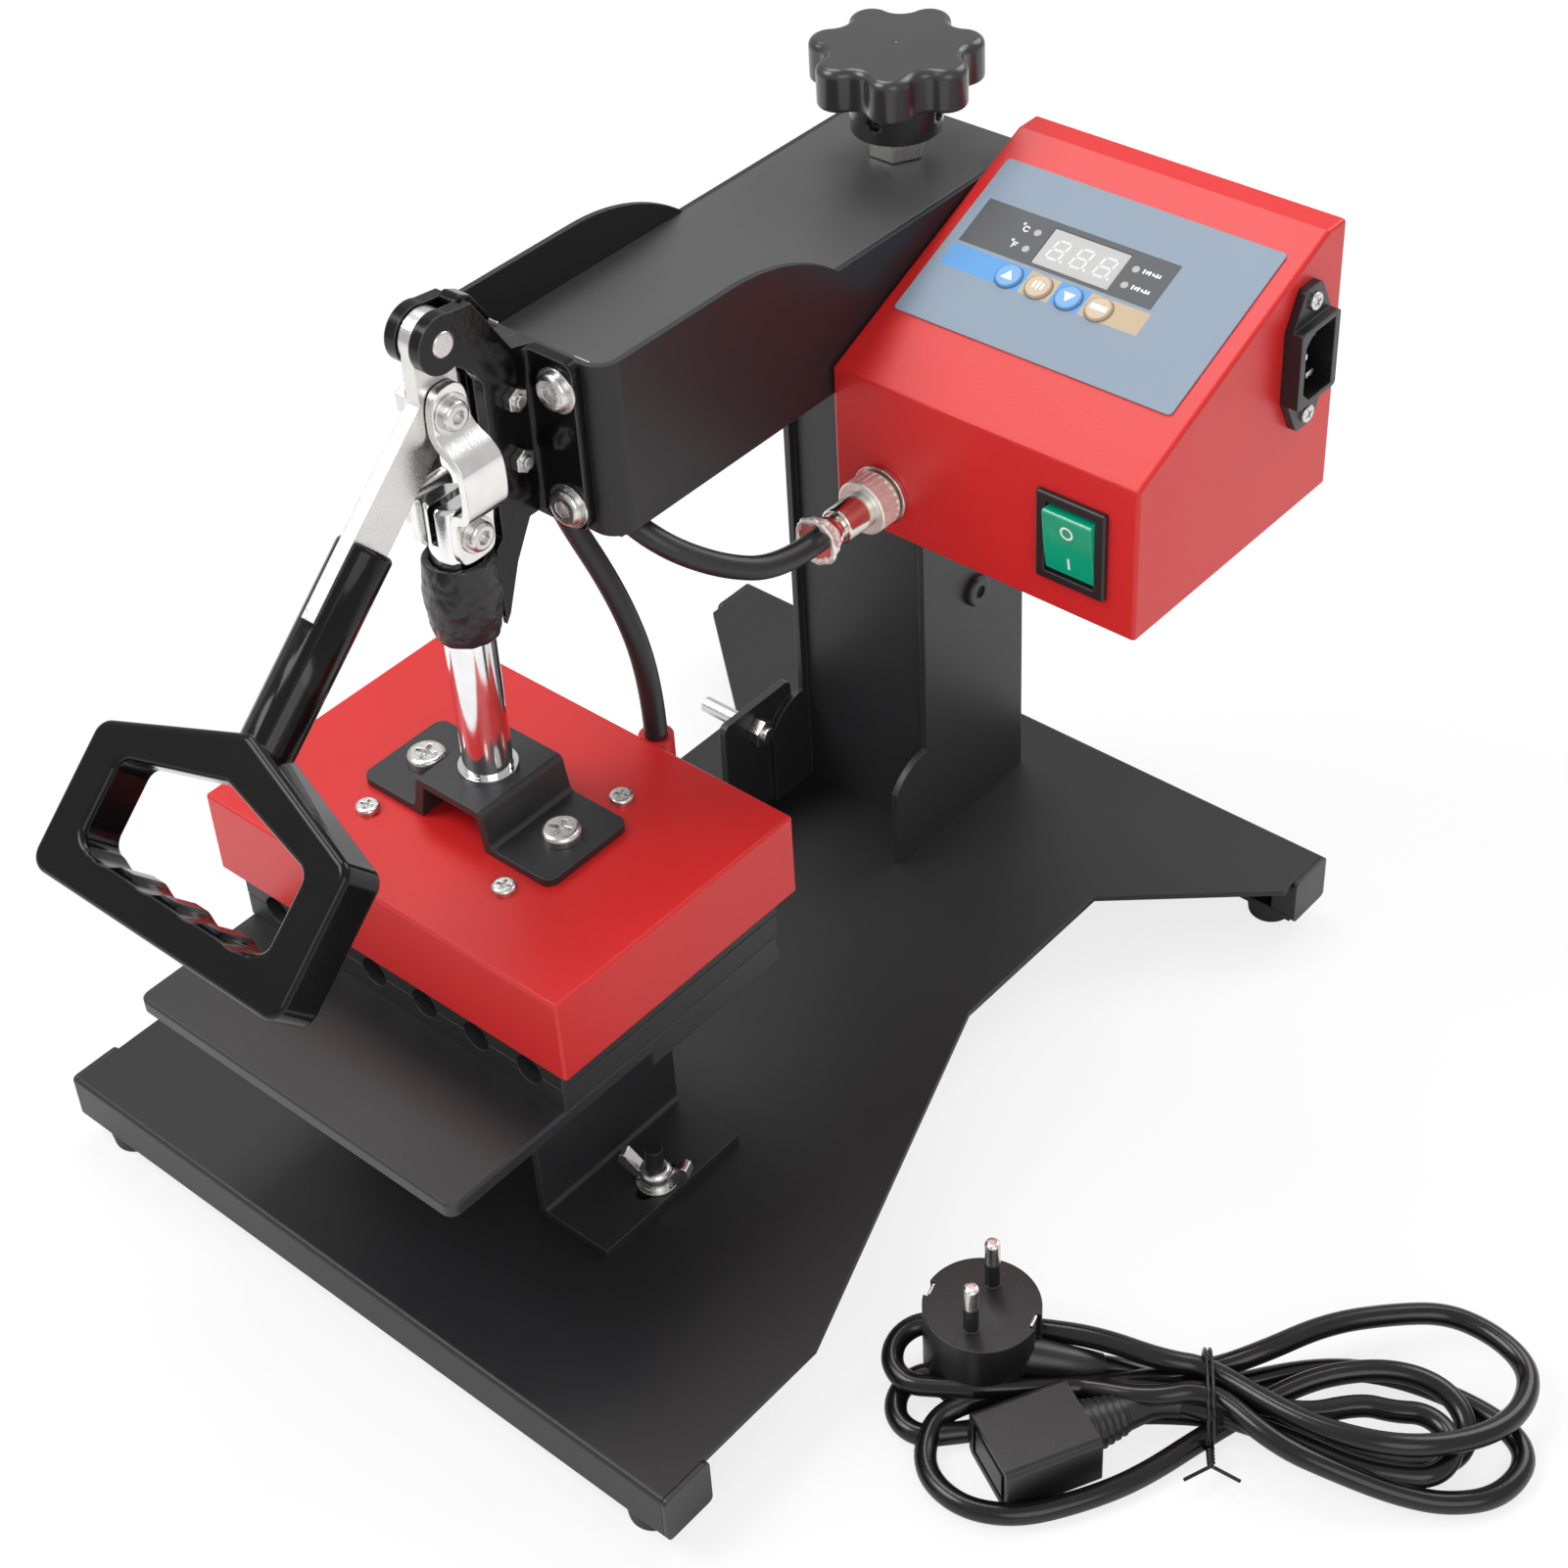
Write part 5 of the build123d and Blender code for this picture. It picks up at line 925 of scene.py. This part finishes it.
recesses = {  # node: kind, direction out of the head, size, depth, heads in press millimetres
    "clamp_bolts": ("hex", (0, -1, 0), 2.9, 2.4, [(x, 26.4, z) for x in (-18.5, 18.5) for z in (259, 299)]),
    "link_bolt": ("hex", (1, 0, 0), 2.3, 2.0, [(9.5, 0, 302)]),
    "link_studs": ("hex", (1, 0, 0), 2.3, 2.0, [(13.3, 0, 262)]),
    "hat_screws": ("cross", (0, 0, 1), 3.6, 1.8, [(-30, 0, 159.6), (30, 0, 159.6)]),
    "cover_screws": ("cross", (0, 0, 1), 2.3, 1.2,
                     [(x, y, 155.2) for x in (-30.5, 30.5) for y in (-26.3, 26.3)]),
    "cross_bolts": ("hex", (1, 0, 0), 2.6, 1.5, [(33.3, 208, 126.5)]),
    "box_screws": ("cross", (1, 0, 0), 1.9, 0.9, [(153.7, 217.5, 243.4), (153.7, 217.5, 283.4)]),
    "star_knob": ("dimple", (0, 0, 1), 3.2, 0.5, [(0, 208, 329)]),
}
makers = {"hex": hexRecess, "cross": crossRecess, "dimple": dimple}
skins = {}
for node, (finish, width) in dressed.items():
    cutters = []
    if node in recesses:
        kind, direction, size, depth, heads = recesses[node]
        cutters = [makers[kind](head, direction, size, depth) for head in heads]
    skins[node] = dress(node, finish, width * millimetre, cutters=cutters)
print("pieces dressed", len(skins))


# pieces made anew, in press millimetres

link = {  # a bar's bends seen from the front, and its outline seen from the side
    "thick": 3.0, "halfWidth": 12, "edge": 0.6,
    "route": ((4.4, 311.5), (4.4, 302), (4.4, 294.8), (13.8, 289), (14.3, 280), (14.0, 270.5), (8.4, 270.5),
              (8.4, 262), (8.4, 252.8)),
    "outline": ((-6.6, 306), (-4, 311), (4, 311), (6.9, 307), (7.4, 298), (9.4, 287), (9.4, 273), (7.2, 265),
                (7.2, 255.5), (4.6, 253.2), (-4.6, 253.2), (-7.2, 255.5), (-7.2, 266), (-6.4, 273),
                (-6.4, 287), (-6.8, 298)),
}


def makeLinks():  # two bars that bulge clear of the lever and come back in to the plunger's head
    pair = []
    for side in (-1, 1):
        made = ribbon([(side * x, z) for x, z in link["route"]], link["halfWidth"], link["thick"])
        combine(made, standUp(outlineSolid(link["outline"], 30)), "INTERSECT")
        bevelEdges(made, link["edge"] * millimetre, segments=3, angle=50)
        flatten(made, 40)
        pair.append(made)
    handOver(join("linkPlatesBent", pair), "linkPlatesBent", "brightSteel", "link", slotOf["link_plates"],
             "link_plates")


sleeve = {  # taped, so crumpled in two sizes; the bore is cut again after
    "outline": ((8.2, 222.3), (9.6, 222.2), (10.4, 224), (11.3, 229), (11.9, 236), (11.8, 243), (11.2, 248),
                (10.7, 251), (9.8, 251.2), (8.2, 250.6), (8.15, 245), (8.15, 228)),
    "folds": ((1.1, 5.0), (0.5, 1.7)), "bore": 8.15, "boreMiddle": (0, 0, 237), "boreLength": 60,
}


def makeSleeve():
    made = turned(sleeve["outline"])
    made.location = at(0, 0, 0)
    settle(made)
    for depth, size in sleeve["folds"]:
        crumple(made, depth, size)
    combine(made, rodAlong(sleeve["boreMiddle"], (0, 0, 1), sleeve["bore"], sleeve["boreLength"]))
    smooth(made, 55)
    handOver(made, "guideSleeveWrapped", "tape", "arm", slotOf["guide_sleeve"], "guide_sleeve")


clampBridge = {"halfDepth": 3.4, "edge": 0.7, "outline": (
    (9.8, 326.5), (9.0, 332.6), (11.5, 333.9), (15.5, 332.0), (22.0, 322.0), (18.0, 318.0), (12.5, 320.0))}


def makeBridge():
    made = standUp(outlineSolid(clampBridge["outline"], clampBridge["halfDepth"], order=2))
    bevelEdges(made, clampBridge["edge"] * millimetre, segments=3)
    flatten(made)
    handOver(made, "clampBridge", "castBlack", "arm", slotOf["clamp_left"])


washers = {  # name: the bolt it lies under, body, direction, outer radius, hole, thickness, places
    "clampWashers": ("clamp_bolts", "arm", (0, -1, 0), 7.4, 5.2, 1.0,
                     [(x, 29.5, z) for x in (-18.5, 18.5) for z in (259, 299)]),
    "linkBoltWasher": ("link_bolt", "lever", (1, 0, 0), 6.4, 4.0, 0.8, [(6.3, 0, 302)]),
    "linkStudWasher": ("link_studs", "link", (1, 0, 0), 5.9, 4.0, 0.8, [(10.3, 0, 262)]),
}


def makeWashers():
    for name, (bolt, body, direction, radius, hole, thick, places) in washers.items():
        made = join(name, [washer(place, direction, radius, hole, thick) for place in places])
        handOver(made, name, "zincSteel", body, slotOf[bolt])


leverPin = {"place": (0, 0, 325), "radius": 4.0, "length": 15.0, "edge": 0.7}
plugCrimp = {"place": (52.5, 99.6, 219.7), "fold": (1.5, 2.4), "steps": 72, "outline": (
    (5.0, 0.6), (7.4, -0.8), (8.3, -0.3), (7.9, 0.9), (6.7, 2.2), (7.0, 3.4), (6.3, 4.8), (5.2, 4.4))}
grubScrews = {"turns": (-80, 12), "centre": (0, 208, 307.35), "out": 12.2, "radius": 2.4, "length": 3.0,
              "edge": 0.3, "socket": (1.25, 1.2)}


def makeLeverPin():
    made = rodAlong(leverPin["place"], (1, 0, 0), leverPin["radius"], leverPin["length"], leverPin["edge"])
    handOver(made, "leverPinFlush", "zincSteel", bodyOf["lever_pin"], slotOf["lever_pin"], "lever_pin")


def makeCrimp():  # the heater plug's collar, pressed on the lead
    made = turned(plugCrimp["outline"], plugCrimp["steps"])
    aimed(made, at(*plugCrimp["place"]), (0, 1, 0))
    crumple(made, *plugCrimp["fold"])
    smooth(made, 50)
    handOver(made, "plugCrimp", "knurled", bodyOf["heater_plug"], slotOf["heater_plug"])


def makeGrubScrews():  # low in the knob's hub
    made = []
    for turn in grubScrews["turns"]:
        out = Vector((math.cos(math.radians(turn)), math.sin(math.radians(turn)), 0))
        place = Vector(grubScrews["centre"]) + out * grubScrews["out"]
        screw = rodAlong(place, out, grubScrews["radius"], grubScrews["length"], grubScrews["edge"], 32)
        combine(screw, hexRecess(place + out * grubScrews["length"] / 2, out, *grubScrews["socket"]))
        flatten(screw)
        made.append(screw)
    handOver(join("knobSetScrews", made), "knobSetScrews", "darkSteel", bodyOf["star_knob"],
             slotOf["star_knob"])


makeLinks()
makeSleeve()
makeBridge()
makeWashers()
makeLeverPin()
makeCrimp()
makeGrubScrews()

reliefs = {  # tapered ends round the lead: places in metres with the radius there
    "mains_plug": (((0.196, 0.0162, 0.0178), 6.6), ((0.200, 0.019, 0.017), 6.3), ((0.210, 0.026, 0.015), 5.2),
                   ((0.215, 0.0315, 0.0125), 4.1)),
    "mains_connector": (((0.2282, 0.0200, 0.010), 6.1), ((0.2296, 0.0227, 0.010), 5.9),
                        ((0.235, 0.0334, 0.010), 4.9), ((0.2422, 0.0365, 0.0102), 4.1)),
}
ribs = {"from": (216.0, -4.0, 10), "turn": 63.0, "sleeve": 16.0, "first": 2.0, "step": 2.5, "count": 5,
        "radius": 8.9, "taper": 2.5 / 14, "thick": 1.3, "edge": 0.4}
plugMetal = {  # the wall plug's pin tips and earth clips
    "place": (181.5, 14.4), "turn": -73.0, "pins": 9.5, "pinMiddle": 46.95, "pinRadius": 2.46,
    "pinLength": 10.2, "pinEdge": 1.1, "clips": 16.9, "clipMiddle": 27.2, "clip": (4.6, 1.0, 12.0),
    "clipEdge": 0.3,
}


def addRelief(node, more=()):  # the tapered end and other parts become one piece with the housing
    route = reliefs[node]
    curve = routeCurve("relief", [place for place, radius in route], 2 * millimetre)
    for point, (place, radius) in zip(curve.data.splines[0].points, route):
        point.radius = radius
    relief = meshOf(curve)
    smooth(relief, 40)
    for item in (relief, *more):
        item.data.materials.clear()
        item.data.materials.append(skins[node].data.materials[0])
    skins[node] = join(skins[node].name, [relief, *more, skins[node]])


def makeRibs():  # rings round the connector's sleeve
    along = Vector((math.cos(math.radians(ribs["turn"])), math.sin(math.radians(ribs["turn"])), 0))
    made = []
    for i in range(ribs["count"]):
        reach = ribs["first"] + i * ribs["step"]
        place = Vector(ribs["from"]) + along * (ribs["sleeve"] + reach)
        radius = ribs["radius"] - reach * ribs["taper"]
        made.append(rodAlong(place, along, radius, ribs["thick"], ribs["edge"], 40))
    return made


def makePlugMetal():
    turn = math.radians(plugMetal["turn"])
    x, y = plugMetal["place"]
    made = []
    for side in (-1, 1):
        pin = side * plugMetal["pins"]
        place = (x + pin * math.cos(turn), y + pin * math.sin(turn), plugMetal["pinMiddle"])
        made.append(rodAlong(place, (0, 0, 1), plugMetal["pinRadius"], plugMetal["pinLength"],
                             plugMetal["pinEdge"], 40))
        clearSelection()
        bpy.ops.mesh.primitive_cube_add(size=millimetre, rotation=(0, 0, turn))
        clip = bpy.context.object
        clip.scale = plugMetal["clip"]
        reach = side * plugMetal["clips"]
        clip.location = at(x - reach * math.sin(turn), y + reach * math.cos(turn), plugMetal["clipMiddle"])
        settle(clip)
        bevelEdges(clip, plugMetal["clipEdge"] * millimetre)
        flatten(clip)
        made.append(clip)
    return handOver(join("mainsPlugMetal", made), "mainsPlugMetal", "pinSteel", "frame", slotOf["mains_plug"])


addRelief("mains_plug")
addRelief("mains_connector", makeRibs())
pinsAndClips = makePlugMetal()
print("pieces made anew")

tuple(at(200, 19, 17))
lengthOf(pathOf(hankRoute))
